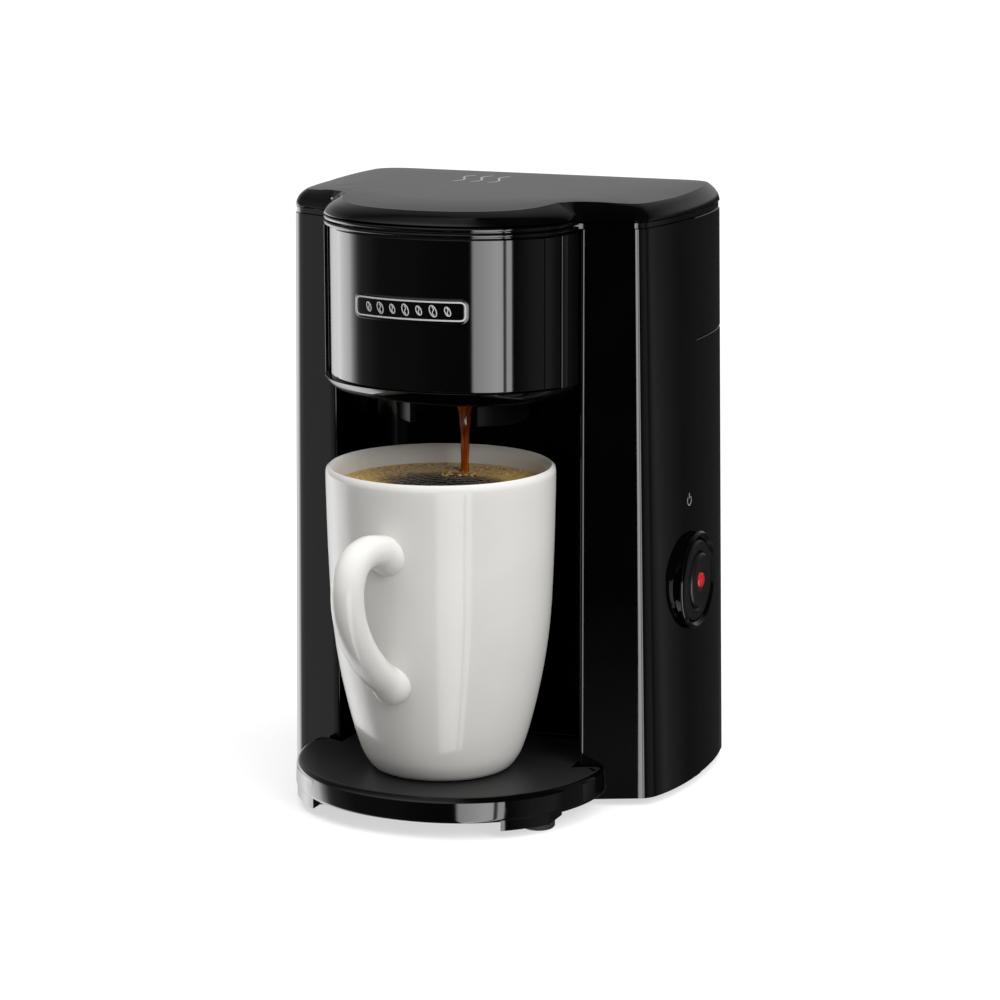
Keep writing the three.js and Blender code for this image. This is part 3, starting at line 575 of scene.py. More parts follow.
def coffee_surface(name, centre, radius, splash):
    """Brewed coffee: near black in the middle, amber crema gathering at the wall, and the colour more amber towards
    the back.
    """
    made, tree, bsdf = nodes_of(name)
    where = (node(tree, "TexCoord", {}), "Object")
    far = node(tree, "VectorMath", {0: where, 1: centre}, operation="DISTANCE")
    edge = node(tree, "Math", {0: (far, "Value"), 1: radius}, operation="DIVIDE")
    swirl = noise(tree, 120, 5, 0.65, (1, 1, 1))
    swirl.inputs["Distortion"].default_value = 1.6
    back = node(tree, "MapRange", {
        "From Min": centre[1] + 0.3 * radius, "From Max": centre[1] + 0.98 * radius, "To Max": 0.2,
        "Value": (node(tree, "SeparateXYZ", {"Vector": where}), "Y"),
    })
    total = node(tree, "Math", {0: (edge, "Value"), 1: (back, "Result")})
    push = node(tree, "Math", {0: (swirl, "Fac"), 1: 0.62, 2: (total, "Value")}, operation="MULTIPLY_ADD")
    colours(tree, push, "Value", [
        (0.64, (0.008, 0.002, 0.0005)), (0.78, (0.08, 0.03, 0.005)), (0.9, (0.32, 0.165, 0.022)),
        (1.0, (0.62, 0.39, 0.07)),
    ], bsdf)
    cells = node(tree, "TexVoronoi", {"Scale": 620, "Vector": where})
    spread(tree, cells, "Distance", 0.05, 0.22, bsdf)
    shift = (node(tree, "VectorMath", {0: where, 1: splash}, operation="SUBTRACT"), "Vector")
    ring = node(
        tree, "TexWave", {"Scale": 95, "Distortion": 1.2, "Vector": shift},
        wave_type="RINGS", rings_direction="SPHERICAL",
    )
    ripple = bump(tree, bsdf, ring, "Fac", 2.2e-4, 0.5)
    bump(tree, bsdf, cells, "Distance", 3.0e-4, 0.8, ripple)
    bsdf.inputs["Specular IOR Level"].default_value = 0.5
    return made


def coffee_stream(name):
    made, tree, bsdf = nodes_of(name)
    flow = noise(tree, 700, 3, 0.6, (1, 1, 0.08))
    colours(tree, flow, "Fac", [
        (0.35, (0.2, 0.022, 0.0006)), (0.55, (0.36, 0.075, 0.003)), (0.75, (0.55, 0.18, 0.03)),
    ], bsdf)
    spread(tree, flow, "Fac", 0.05, 0.14, bsdf)
    put(bsdf, {"Subsurface Weight": 0.25, "Subsurface Radius": (0.002, 0.0006, 0.0002)})
    bump(tree, bsdf, flow, "Fac", 2e-4)
    return made


BLACK = (0.0008, 0.0008, 0.0009)
GLOSS = gloss_plastic("gloss_black_abs", BLACK, (0.0015, 0.0015, 0.0016))
SATIN = grained_plastic("satin_black_pp", (0.004, 0.004, 0.0042), (0.007, 0.007, 0.0072), (0.3, 0.4))
BASE_GRAIN = grained_plastic(
    "plate_top_grain", (0.012, 0.012, 0.0122), (0.018, 0.018, 0.0183), (0.36, 0.5), 1500, 2.4e-5
)
LID_GRAIN = grained_plastic("lid_grain", (0.036, 0.036, 0.037), (0.05, 0.05, 0.052), (0.3, 0.38), 2200, 8e-6)
DULL = gloss_plastic("dull_black_abs", BLACK, (0.0016, 0.0016, 0.0017), (0.2, 0.3))
put(DULL.node_tree.nodes["Principled BSDF"], {"Specular IOR Level": 0.015})
CUP_BLACK = grained_plastic("cup_black", (0.003, 0.003, 0.0031), (0.005, 0.005, 0.0052), (0.34, 0.44))
put(CUP_BLACK.node_tree.nodes["Principled BSDF"], {"Specular IOR Level": 0.07})
MATT = grained_plastic("matt_black", (0.01, 0.01, 0.0105), (0.018, 0.018, 0.019), (0.5, 0.62), 1400, 2e-5)
RUBBER = rubbery("black_rubber", (0.012, 0.012, 0.012), (0.022, 0.022, 0.022))
SILICONE = rubbery("pale_silicone", (0.52, 0.5, 0.46), (0.66, 0.64, 0.6), (0.4, 0.55))
STEEL = metal("zinc_steel", (0.56, 0.57, 0.58), 0.3)
ALUMINIUM = metal("sawn_aluminium", (0.7, 0.71, 0.72), 0.38, 900, (1, 0.1, 1), 1.2e-5)
BRASS = metal("brass_tab", (0.75, 0.58, 0.27), 0.3)
GLAZE = glaze("mug_glaze_white")
NET = woven("nylon_net", (0.05, 0.04, 0.025), (0.42, 0.36, 0.24))
TANK = clear_plastic("smoke_tank")
LENS = red_lens("red_lens")
WIRE_BROWN = gloss_plastic("brown_pvc", (0.1, 0.04, 0.02), (0.14, 0.06, 0.03), (0.3, 0.4), 6e-6)
WIRE_BLUE = gloss_plastic("blue_pvc", (0.02, 0.06, 0.26), (0.03, 0.08, 0.32), (0.3, 0.4), 6e-6)
PRINT = grained_plastic("pale_print", (0.6, 0.6, 0.6), (0.72, 0.72, 0.71), (0.35, 0.45), 1500, 4e-6)
PRINT_DIM = grained_plastic("grey_print", (0.3, 0.3, 0.3), (0.36, 0.36, 0.36), (0.35, 0.45), 1500, 4e-6)

CAD_LOOKS = (
    (SATIN, "rear_cover rear_housing"),
    (STEEL, "hinge_pin_left hinge_pin_right valve_ball heater_bracket"),
    (STEEL, "bottom_screw_1 bottom_screw_2 bottom_screw_3 bottom_screw_4"),
    (MATT, "lid_liner riser_tube thermostat switch_body foot_plate_cover bottom_cover"),
    (TANK, "water_tank"),
    (NET, "tank_screen"),
    (SILICONE, "check_valve tank_hose inlet_hose outlet_hose riser_nozzle thermal_fuse terminal_block"),
    (ALUMINIUM, "heater_block"),
    (BRASS, "element_terminal_left element_terminal_right"),
    (WIRE_BROWN, "wire_live"),
    (WIRE_BLUE, "wire_neutral"),
    (RUBBER, "foot_front_left foot_front_right foot_rear_left foot_rear_right"),
)


def dress_cad():
    """Gives the CAD nodes that are carried over their procedural materials."""
    for material, names in CAD_LOOKS:
        for name in names.split():
            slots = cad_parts[name].data.materials
            slots.clear()
            slots.append(material)


# ---- Housing ----


def switch_hole(verts, keep, rows, cols):
    """Opens the switch's round hole: drops the cells inside it and moves the rim's points onto the circle."""
    drop, rim = set(), set()
    for r, c in keep:
        ids = (r * cols + c, r * cols + c + 1, (r + 1) * cols + c + 1, (r + 1) * cols + c)
        x, y, z = (sum(verts[i][k] for i in ids) / 4 for k in range(3))
        if x > 60 and y < 60 and hypot(y - SWITCH_Y, z - SWITCH_Z) < SWITCH_HOLE:
            drop.add((r, c))
    for r, c in drop:
        for rr, cc in ((r, c), (r, c + 1), (r + 1, c), (r + 1, c + 1)):
            around = [(rr - 1, cc - 1), (rr - 1, cc), (rr, cc - 1), (rr, cc)]
            if any(0 <= u < rows - 1 and 0 <= v < cols - 1 and (u, v) not in drop for u, v in around):
                rim.add(rr * cols + cc)
    for i in rim:
        x, y, z = verts[i]
        d = hypot(y - SWITCH_Y, z - SWITCH_Z)
        verts[i] = (
            x, SWITCH_Y + (y - SWITCH_Y) * SWITCH_HOLE / d, SWITCH_Z + (z - SWITCH_Z) * SWITCH_HOLE / d
        )
    return keep - drop


def grid_faces(keep, cols):
    return [
        [r * cols + c, r * cols + c + 1, (r + 1) * cols + c + 1, (r + 1) * cols + c]
        for r, c in sorted(keep)
    ]


def shell_piece(name, verts, faces, material, body, nodes_, slot, thick=2.3, edge=0.45):
    """A moulded wall: a skin made solid inwards, with rounded rims."""
    piece = make(name, verts, faces, material, body, nodes_, slot)
    solid = piece.modifiers.new("wall", "SOLIDIFY")
    solid.thickness = thick * MM
    solid.offset = -1
    solid.use_even_offset = True
    bevel(piece, edge, 3, 50)
    return piece


def face_out(piece, outward):
    """Turns the piece's faces so that they look along the given way at their highest point that way."""
    mesh = piece.data
    best = max(mesh.polygons, key=lambda p: p.center.dot(outward))
    if best.normal.dot(outward) < 0:
        mesh.flip_normals()


def level_list(low, high):
    levels = [low]
    while levels[-1] < high - 0.01:
        z = levels[-1]
        step = 1.25 if SWITCH_Z - 21 < z < SWITCH_Z + 21 else 6.0
        levels.append(min(high, z + step))
    return levels


def up_of(z):
    return (z - BODY_BOTTOM) / (BODY_TOP - BODY_BOTTOM)


def cut_at(path, y, keep_front):
    """The outer side's path split where it passes y: the part before it or after it."""
    turn = min(range(len(path)), key=lambda i: path[i][1])
    for i in range(turn, len(path) - 1):
        a, b = path[i], path[i + 1]
        if a[1] <= y < b[1]:
            t = (y - a[1]) / (b[1] - a[1])
            at = (lerp(a[0], b[0], t), y)
            return path[: i + 1] + [at] if keep_front else [at] + path[i + 1:]
    raise ValueError("the path doesn't pass there")


def regular(path, count):
    """The flat path as count + 1 points, evenly spread."""
    return [
        (lerp(path[j][0], path[j + 1][0], t), lerp(path[j][1], path[j + 1][1], t))
        for j, t in even_steps(path, count)
    ]


def front_side_path(up):
    """Right half of the front housing, from the bay's middle to the seam, finely split at the side."""
    path = cut_at(tower_path(up), SEAM_Y, True)
    return path[:41] + regular(path[41:], 28)


def rear_side_path(up):
    path = cut_at(tower_path(up), SEAM_Y + GAP, False)
    return regular(path[:-18], 14) + path[-18:-9] + regular(path[-9:], 48)


def both_sides(right):
    """A path that starts on x = 0 continued to the other side, from the right end to the left end."""
    return right[::-1] + [(-x, y) for x, y in right[1:]]


def tower_wall(name, cad_node, slot, levels, outline, facing, skipped=None):
    """One shell of the tower: an outline that changes with height, with the switch's hole in it."""
    paths = [outline(up_of(z)) for z in levels]
    verts = [(x, y, z) for path, z in zip(paths, levels) for x, y in path]
    rows, cols = len(levels), len(paths[0])
    keep = {(r, c) for r in range(rows - 1) for c in range(cols - 1)}
    if skipped:
        keep = {(r, c) for r, c in keep if not skipped(verts[r * cols + c], verts[r * cols + c + 1])}
    keep = switch_hole(verts, keep, rows, cols)
    wall = shell_piece(name, verts, grid_faces(keep, cols), GLOSS, "machine", [cad_node], slot)
    face_out(wall, Vector(facing))


def build_housing():
    def in_head(a, b):
        return a[2] > HEAD_LOW[2] - 3.3 and abs((a[0] + b[0]) / 2) < WING_X + 0.2 and (a[1] + b[1]) / 2 > -1.4

    levels = level_list(BODY_BOTTOM, BODY_TOP)
    tower_wall(
        "housing_front", "front_housing", "gloss_black", levels,
        lambda up: both_sides(front_side_path(up)), (0, -1, 0), in_head,
    )
    for name, cad_node, low, high in (
        ("housing_rear_lower", "rear_cover", BODY_BOTTOM, REAR_TOP),
        ("housing_rear_upper", "rear_housing", REAR_TOP + GAP, BODY_TOP),
    ):
        tower_wall(name, cad_node, "satin_black", level_list(low, high), whole_rear, (0, 1, 0))

    strips = []
    for side in (-1, 1):
        rings = []
        for z in levels[1:-1:4]:
            x = side_x(SEAM_Y, z) - 1.4
            rings.append([(side * a, b, z) for a, b in ((x, 43.6), (x, 48.6), (x - 1, 48.6), (x - 1, 43.6))])
        strips.append(loft(rings))
    make("seam_backing", *merged(*strips), MATT, "machine", [], "matt_black", 30)


def whole_rear(up):
    """The rear shells' outline at a height, from the seam on the right round the back to the seam on the left."""
    right = rear_side_path(up)
    return right + [(-x, y) for x, y in right[-2::-1]]


def build_bay():
    """The plate behind the mug, with its raised middle column."""
    low, high = span("bay_panel")
    column = low[1]
    plate_front = column + 1.2
    parts = merged(
        box_at((low[0], plate_front, low[2]), (high[0], high[1], high[2])),
        box_at((-21, column, low[2]), (21, plate_front + 0.4, high[2])),
    )
    bevel(make("bay_plate", *parts, DULL, "machine", ["bay_panel"], "gloss_black", 30), 0.5)


# ---- Head ----


def build_head():
    back = HEAD_HIGH[1]
    low, top = LIP_LOW, PANEL_TOP + 0.5
    shape = [
        (low, 7.0), (low + 0.06, 6.0), (low + 0.4, 4.8), (low + 1.0, 3.6), (low + 1.8, 2.45), (low + 2.7, 1.5),
        (low + 3.6, 0.8), (low + 4.3, 0.36), (PANEL_LOW - 0.6, 0.0), (PANEL_LOW - 0.42, 0.12), (PANEL_LOW - 0.32, 0.4),
        (PANEL_LOW - 0.3, 1.9), (top, 1.9),
    ]
    rings = [[lean((x, y, z)) for x, y in closed_head(inset, back)] for z, inset in shape]
    outer = loft(rings, cap=False)
    ring = rings[0]
    n = len(ring)
    hole = []
    for x, y, _ in ring:
        t = atan2(y - BREW_Y, x)
        hole.append((24.2 * cos(t), BREW_Y + 24.2 * sin(t), low))
    under = ring + hole + [(x, y, low + 2.6) for x, y, _ in hole]
    verts, faces = merged(outer, (under, quads(n, 3)))
    body = make("head_body", verts, faces, GLOSS, "machine", ["head_shell"], "gloss_black", 30, (DULL,))
    for face in body.data.polygons:
        if face.center.z < (low + 2.9) * MM:
            face.material_index = 1

    cheeks = []
    for side in (-1, 1):
        start = panel_end() + 0.016
        path = [oval(start + (pi / 2 - start) * k / 24) for k in range(25)]
        path += straight(path[-1], (HEAD_X, back), 6)
        verts = [lean((side * x, y, z)) for z in (PANEL_LOW - 0.6, top - 0.3) for x, y in path]
        faces = quads(len(path), 2, False)
        cheeks.append((verts, faces if side > 0 else [q[::-1] for q in faces]))
    verts, faces = merged(*cheeks)
    sides = shell_piece("head_cheeks", verts, faces, GLOSS, "machine", [], "gloss_black", 1.7, 0.4)
    face_out(sides, Vector((1, 0, 0)))


def panel_end():
    """The oval's own angle where the front panel stops."""
    t = 0.0
    while atan2(oval(t)[0], HEAD_Y - oval(t)[1]) < PANEL_ANGLE:
        t += 0.002
    return t


def closed_head(inset, back):
    right = [oval(pi / 2 * k / 40, inset) for k in range(41)]
    right += straight(right[-1], (HEAD_X - inset, back), 6)
    return mirrored(right + straight(right[-1], (0, back), 8))


def narrow(p):
    """The panel's left half stands back a little from the wider head."""
    return (p[0] * (0.97 if p[0] < 0 else 1.0), p[1])


def build_panel():
    """The curved front panel, let into the head."""
    steps = 72
    rows = [PANEL_LOW, PANEL_LOW + 18, PANEL_LOW + 36, PANEL_TOP]
    end = panel_end()
    verts = [
        (*narrow(oval(end * (2 * k / steps - 1), 0.1)), z) for z in rows for k in range(steps + 1)
    ]
    faces = quads(steps + 1, len(rows), False)
    panel = shell_piece("head_panel", verts, faces, GLOSS, "machine", ["front_panel"], "gloss_black", 1.3, 0.35)
    face_out(panel, Vector((0, -1, 0)))


def on_panel(s, z, lift):
    """A point on the panel's front: s is the arc length from its middle, in millimetres."""
    step, t, gone = 0.01, 0.0, 0.0
    while gone < abs(s):
        d = dist(oval(t), oval(t + step))
        if gone + d > abs(s):
            t += step * (abs(s) - gone) / d
            break
        t, gone = t + step, gone + d
    return (*narrow(oval(copysign(t, s), 0.1 - lift)), z)


def ribbon(path, width, place, lift, closed=False, thick=0.06):
    """A thin raised line along a flat path, laid on a surface by place(u, v, lift)."""
    n = len(path)
    verts, faces = [], []
    for i, p in enumerate(path):
        a = path[(i - 1) % n] if closed or i else p
        b = path[(i + 1) % n] if closed or i < n - 1 else p
        d = Vector((b[0] - a[0], b[1] - a[1])).normalized()
        side = Vector((-d.y, d.x)) * (width / 2)
        for s in (-1, 1):
            for h in (lift, lift + thick):
                verts.append(place(p[0] + side.x * s, p[1] + side.y * s, h))
    count = n if closed else n - 1
    for i in range(count):
        a, b = i * 4, ((i + 1) % n) * 4
        faces += [
            [a, b, b + 1, a + 1], [a + 2, a + 3, b + 3, b + 2], [a + 1, b + 1, b + 3, a + 3], [a, a + 2, b + 2, b]
        ]
    if not closed:
        e = (n - 1) * 4
        faces += [[0, 1, 3, 2], [e, e + 2, e + 3, e + 1]]
    return verts, faces


def rounded_rect(w, h, r, steps=6):
    out = []
    for right, up, start in ((1, 1, 0), (-1, 1, 90), (-1, -1, 180), (1, -1, 270)):
        for k in range(steps + 1):
            t = radians(start + 90 * k / steps)
            out.append((right * (w / 2 - r) + r * cos(t), up * (h / 2 - r) + r * sin(t)))
    return out


def build_badge():
    """A plain raised plate with a printed border and a row of beans, in place of any lettering."""
    low, high = span("badge")
    middle = (low[2] + high[2]) / 2

    def place(u, v, lift):
        return on_panel(u - 3.0, middle + v, lift)

    w, h = 46.0, 8.8
    rings = []
    for inset, lift in ((0.0, -0.3), (0.0, 0.3), (0.15, 0.48), (0.45, 0.55)):
        ring = rounded_rect(w - 2 * inset, h - 2 * inset, 2.6 - inset)
        rings.append([place(u, v, lift) for u, v in resample_loop(ring, 160)])
    verts, faces = loft(rings, cap=False)
    n = len(rings[0])
    inner = resample_loop(rounded_rect(w - 0.9, h - 0.9, 2.15), 160)
    cells, tris = fill_loop(inner, place, 0.55)
    parts = merged((verts, faces), (cells, tris))
    make("badge_plate", *parts, GLOSS, "machine", ["badge"], "trim_silver", 30)

    border = ribbon(resample_loop(rounded_rect(w - 2.4, h - 2.4, 1.7), 160), 0.55, place, 0.56, closed=True)
    marks = [border]
    for k in range(-3, 4):
        marks += bean(k * 5.2, 0.0, 1.25 if k % 2 else 1.55, place)
    make("badge_print", *merged(*marks), PRINT, "machine", [], "trim_silver", 30)


def bean(u, v, size, place):
    """A coffee bean in outline with its crease."""
    shape = [
        (u + size * 0.78 * cos(t) - 0.35 * size * sin(t), v + size * 1.25 * sin(t))
        for t in (2 * pi * k / 28 for k in range(28))
    ]
    crease = [
        (u + 0.28 * size * sin(3.0 * q) - 0.3 * size * q, v + size * 0.95 * q)
        for q in (-1 + 2 * k / 12 for k in range(13))
    ]
    return [ribbon(shape, 0.36, place, 0.56, closed=True), ribbon(crease, 0.32, place, 0.56)]


def resample_loop(loop, count):
    return regular(loop + loop[:1], count)[:-1]


def fill_loop(loop, place, lift):
    """A loop filled with a fine mesh, so that it can lie on a curved surface."""
    xs = [p[0] for p in loop]
    count = int((max(xs) - min(xs) - 4) / 1.5) + 1
    inner = [(min(xs) + 2 + k * 1.5, y) for k in range(count) for y in (-1.6, 0.0, 1.6)]
    flat, tris = filled(loop, inner)
    return [place(p.x, p.y, lift) for p in flat], tris


# ---- Deck and lid ----


def build_deck():
    """The rim under the lid: a plate with the filter and tank openings, a bead and a collar round the head."""
    edge = top_path(0.35)
    head_edge = [p for p in top_path(1.9) if p[0] < 46.5 and p[1] < -3.5]
    outline = mirrored(head_edge + [p for p in edge if p[0] > 48.5 or p[1] > 0])
    holder = circle(38.2, 0, BREW_Y, 96)[::-1]
    tank = [(x, y + 66.8) for x, y in resample_loop(rounded_rect(124, 29, 5), 96)][::-1]
    nozzle = circle(3.6, 0, 47.2, 24)[::-1]
    parts = [plate(outline, [holder, tank, nozzle], DECK_LOW, DECK_HIGH)]
    right = top_path(0.1)[:41]
    right += [(HEAD_X - 0.1, y) for y in (-1.0, 1.0, 3.0)]
    path = [(-x, y) for x, y in right[:0:-1]] + right
    n = len(path)
    for low, high in ((210.15, 211.6), (212.1, COLLAR_TOP - 0.1)):
        rings = []
        for inset, z in (
            (0.7, low), (0.25, low + 0.08), (0.0, low + 0.35), (0.0, high - 0.35), (0.25, high - 0.08), (0.7, high),
            (2.4, high), (2.4, low),
        ):
            rings.append([lean(inward(path, i, inset) + (z,)) for i in range(n)])
        verts = [p for ring in rings for p in ring]
        count = len(rings)
        faces = [
            [r * n + i, r * n + i + 1, (r + 1) % count * n + i + 1, (r + 1) % count * n + i]
            for r in range(count) for i in range(n - 1)
        ]
        ends = [[r * n for r in range(count)], [r * n + n - 1 for r in range(count)][::-1]]
        parts.append((verts, faces + ends))
    make("deck_rim", *merged(*parts), GLOSS, "machine", ["deck"], "gloss_black", 50)

    knuckles = []
    for side in (-1, 1):
        for offset in (-6.3, 6.3):
            x = side * 40.0 + offset
            knuckles.append(knuckle(x, 3.0))
            knuckles.append(box_at((x - 3, BACK_Y - 0.9, DECK_LOW), (x + 3, 88.6, HINGE_Z - 1.6)))
    make("deck_knuckles", *merged(*knuckles), GLOSS, "machine", [], "gloss_black", 30)


def knuckle(x, half):
    profile = [(1.15, x - half), (2.3, x - half), (2.3, x + half), (1.15, x + half), (1.15, x - half)]
    return turned(smooth_profile(profile, 0.3, 2), 32, "x", (0, HINGE_Y, HINGE_Z))


def inward(path, i, inset):
    """The path's point i, moved in by inset."""
    a, b = path[max(i - 1, 0)], path[min(i + 1, len(path) - 1)]
    d = Vector((b[0] - a[0], b[1] - a[1])).normalized()
    return (path[i][0] - d.y * inset, path[i][1] + d.x * inset)


def lid_point(table, i, inset):
    """Outline point i at any inset, from outlines made at whole steps."""
    k = min(int(inset), len(table) - 2)
    a, b = table[k][i], table[k + 1][i]
    return (lerp(a[0], b[0], inset - k), lerp(a[1], b[1], inset - k))


def build_lid():
    """The lid: a glossy shoulder up to a crisp edge, and a fine-grained, slightly domed top."""
    table = [mirrored(top_path(float(k), 1.5 + 0.55 * k)) for k in range(30)]
    base = table[0]
    n = len(base)
    headness, inner = [], []
    for x, y in base:
        t = min(1, max(0, (WING_Y + 1.2 - y) / 5.0)) if abs(x) < 49.5 and y < 5 else 0.0
        headness.append(t * t * (3 - 2 * t))
        corner = exp(-((abs(x) - 48) ** 2 + (y + 3) ** 2) / (2 * 13.0 ** 2))
        inner.append(max(corner, 0.75 * min(1, max(0, (y - 40) / 40))))

    def ring(inset, z, rise=0.0):
        out = []
        for i, h in enumerate(headness):
            start = max(0.0, 1 - (z - LID_LOW) / 5.5) * 1.1 * h
            wide = h * (0.4 + 3.0 * min(1.0, (base[i][0] / HEAD_X) ** 2)) * min(1.0, inset / 3.6)
            at = inset + (wide if z > LID_LOW + 0.3 else 0.0)
            out.append(lean(lid_point(table, i, at) + (z + start + rise * inner[i],)))
        return out

    low = LID_LOW
    rings = [ring(1.9, low + 0.9), ring(1.9, low), ring(0.25, low), ring(0.0, low + 0.25)]
    for k in range(1, 12):
        t = radians(62) * k / 11
        rings.append(ring(6.8 * (1 - cos(t)), low + 6.68 * sin(t), 1.2 * (k / 11) ** 2))
    shoulder = len(rings) - 1
    for inset, z, rise in (
        (4.2, 218.87, 1.2), (6, 219.15, 1.1), (8.5, 219.55, 0.9), (11, 219.85, 0.7), (14, 220.15, 0.45),
        (17, 220.4, 0.25), (20, 220.58, 0.1), (22.4, 220.7, 0),
    ):
        rings.append(ring(inset, z, rise))
    verts, faces = loft(rings, cap=False)
    last = (len(rings) - 1) * n
    faces += [[last + i for i in t] for t in filled(rings[-1])[1]]
    under, tris = filled(rings[0])
    parts = [(verts, faces), ([(p.x, p.y, LID_LOW + 1.55) for p in under], [t[::-1] for t in tris])]
    for side in (-1, 1):
        x = side * 40.0
        parts.append(knuckle(x, 2.9))
        parts.append(box_at((x - 2.9, BACK_Y - 1.6, 213.2), (x + 2.9, 88.6, 215.4)))
    piece = make("lid_shell", *merged(*parts), LID_GRAIN, "lid", ["lid"], "lid_black", 14, (GLOSS,))
    edge = rings[shoulder]
    for face in piece.data.polygons:
        c = face.center / MM
        if c.z < 220.3:
            near = min(edge, key=lambda p: (p[0] - c.x) ** 2 + (p[1] - c.y) ** 2)
            face.material_index = int(c.z < near[2] - 0.02)

    def place(u, v, lift):
        return (u, v, LID_HIGH + lift - 0.02)

    waves = []
    for k in (-1, 0, 1):
        waves.append(ribbon([
            (k * 7.0 - 12 + 1.8 * sin(q * 2 * pi), 50 + 22 * (q - 0.5)) for q in (j / 20 for j in range(21))
        ], 0.8, place, 0.0))
    make("lid_steam_mark", *merged(*waves), PRINT_DIM, "lid", [], "trim_silver", 30)


# ---- Brewing parts ----


def build_brewing():
    floor = 155.5
    r = 35.4
    profile = [
        (3.3, 145.0), (5.2, 145.0), (6.2, 146.8), (21.0, 147.2), (23.4, 147.2), (23.4, floor), (r - 3, floor + 0.3),
        (r, floor + 3.5), (r, 205.2), (r + 2.6, 205.2), (r + 2.6, 207.4), (r - 1.1, 207.4), (r - 1.1, 204.4),
        (r - 2.2, 204.4), (r - 2.2, floor + 5), (r - 4.2, floor + 2.4), (21.4, floor + 1.6), (21.4, 150.0),
        (3.3, 149.0), (3.3, 145.0),
    ]
    cup = turned(smooth_profile(profile, 0.6), 96, "z", (0, BREW_Y, 0))
    guard = []
    section = smooth_profile([(21.0, 139.6), (23.4, 139.6), (23.4, 147.4), (21.0, 147.4), (21.0, 139.6)], 0.5)[:-1]
    for k in range(61):
        t = radians(-55.7 + 291.4 * k / 60)
        guard.append([(radius * cos(t), BREW_Y + radius * sin(t), z) for radius, z in section])
    make("filter_cup", *merged(cup, loft(guard)), CUP_BLACK, "machine", ["filter_holder"], "satin_black")

    def cone(z):
        return 17 + (z - 164) * 0.33

    ring = smooth_profile([
        (28.8, 201.4), (32.7, 201.4), (32.7, 204.7), (33.9, 204.7), (33.9, 206.4), (28.8, 206.4), (28.8, 201.4),
    ], 0.4)
    foot = smooth_profile([(18.2, 161.6), (18.2, 164.6), (16.0, 164.6), (16.0, 163.2)], 0.4)
    parts = [
        turned(ring, 96, "z", (0, BREW_Y, 0)),
        turned([(0, 161.6)] + foot + [(0, 163.2)], 96, "z", (0, BREW_Y, 0)),
    ]
    for k in range(6):
        t = pi * k / 3
        out, side = Vector((-sin(t), cos(t))), Vector((cos(t), sin(t)))
        verts = []
        for z in (163.4, 202.2):
            for a, b in ((-0.8, 0.9), (0.8, 0.9), (0.8, 3.0), (-0.8, 3.0)):
                p = out * (cone(z) + b) + side * a
                verts.append((p.x, p.y + BREW_Y, z))
        parts.append((verts, box_at((0, 0, 0), (1, 1, 1))[1]))
    bevel(make("filter_basket", *merged(*parts), MATT, "machine", ["filter_frame"], "matt_black"), 0.25, 2)
    low, high = 165.2, 201
    net = [(cone(low), low), (cone(low) + 0.5, low), (cone(high) + 0.5, high), (cone(high), high), (cone(low), low)]
    make("filter_net", *turned(net, 120, "z", (0, BREW_Y, 0)), NET, "machine", ["filter_mesh"], "filter_nylon")
    loop = [
        (27.2 * cos(t), BREW_Y - 27.2 * sin(t), 203.4)
        for t in (pi * (0.04 + 0.92 * k / 12) for k in range(13))
    ]
    make("filter_bail", *swept(spline(loop, 60), 1.1, 16, (0, 0, 1)), MATT, "machine", ["filter_handle"], "matt_black")


# ---- Switch ----


def build_switch():
    f = SWITCH_FACE
    at = (0, SWITCH_Y, SWITCH_Z)
    bezel = [
        (15.4, 66), (16.8, 66), (16.8, f), (18.1, f + 0.1), (18.1, f + 0.7), (17.4, f + 1.5), (16.9, f + 1.5),
        (15.4, f + 0.4), (15.4, 66),
    ]
    rim = turned(smooth_profile(bezel, 0.45), 96, "x", at)
    make("switch_rim", *rim, GLOSS, "machine", ["switch_bezel"], "gloss_black")
    ring = [
        (10.5, 68), (15.0, 68), (15.0, f + 0.3), (14.2, f + 1.0), (11.4, f + 1.2), (10.5, f + 0.7), (10.5, 68),
    ]
    collar = turned(smooth_profile(ring, 0.35), 96, "x", at)
    make("switch_collar", *collar, SATIN, "machine", ["switch_ring"], "satin_black")
    button = [
        (3.2, 67.5), (10.2, 67.5), (10.2, f + 1.7), (9.3, f + 2.5), (4.4, f + 2.1), (3.2, f + 1.7), (3.2, 67.5),
    ]
    cap = turned(smooth_profile(button, 0.4), 96, "x", at)
    make("button_cap", *cap, SATIN, "button", ["push_button"], "satin_black")
    lens = [(0, 67.7), (2.9, 67.7), (2.9, f + 1.8), (2.7, f + 2.2), (1.9, f + 2.6), (1.0, f + 2.75), (0, f + 2.8)]
    make("button_light", *turned(lens, 48, "x", at), LENS, "button", ["indicator_lens"], "lens_red", 60)


def build_spring():
    """The coil spring behind the button."""
    count, turns, radius = 110, 3.5, 5.4
    coil = []
    for k in range(count + 1):
        t = 2 * pi * turns * k / count
        x = 62.65 + 4.15 * k / count
        coil.append(Vector((x, SWITCH_Y + radius * cos(t), SWITCH_Z + radius * sin(t))))
    spring = make("button_coil", *swept(coil, 0.45, 12), STEEL, "machine", ["button_spring"], "steel", 60)
    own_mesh(spring)


def side_x(y, z):
    """The tower's outer surface at a place on the right-hand side."""
    path = tower_path(up_of(z))
    turn = min(range(len(path)), key=lambda i: path[i][1])
    for a, b in zip(path[turn:], path[turn + 1:]):
        if a[1] <= y < b[1]:
            return lerp(a[0], b[0], (y - a[1]) / (b[1] - a[1]))
    raise ValueError("off the side")


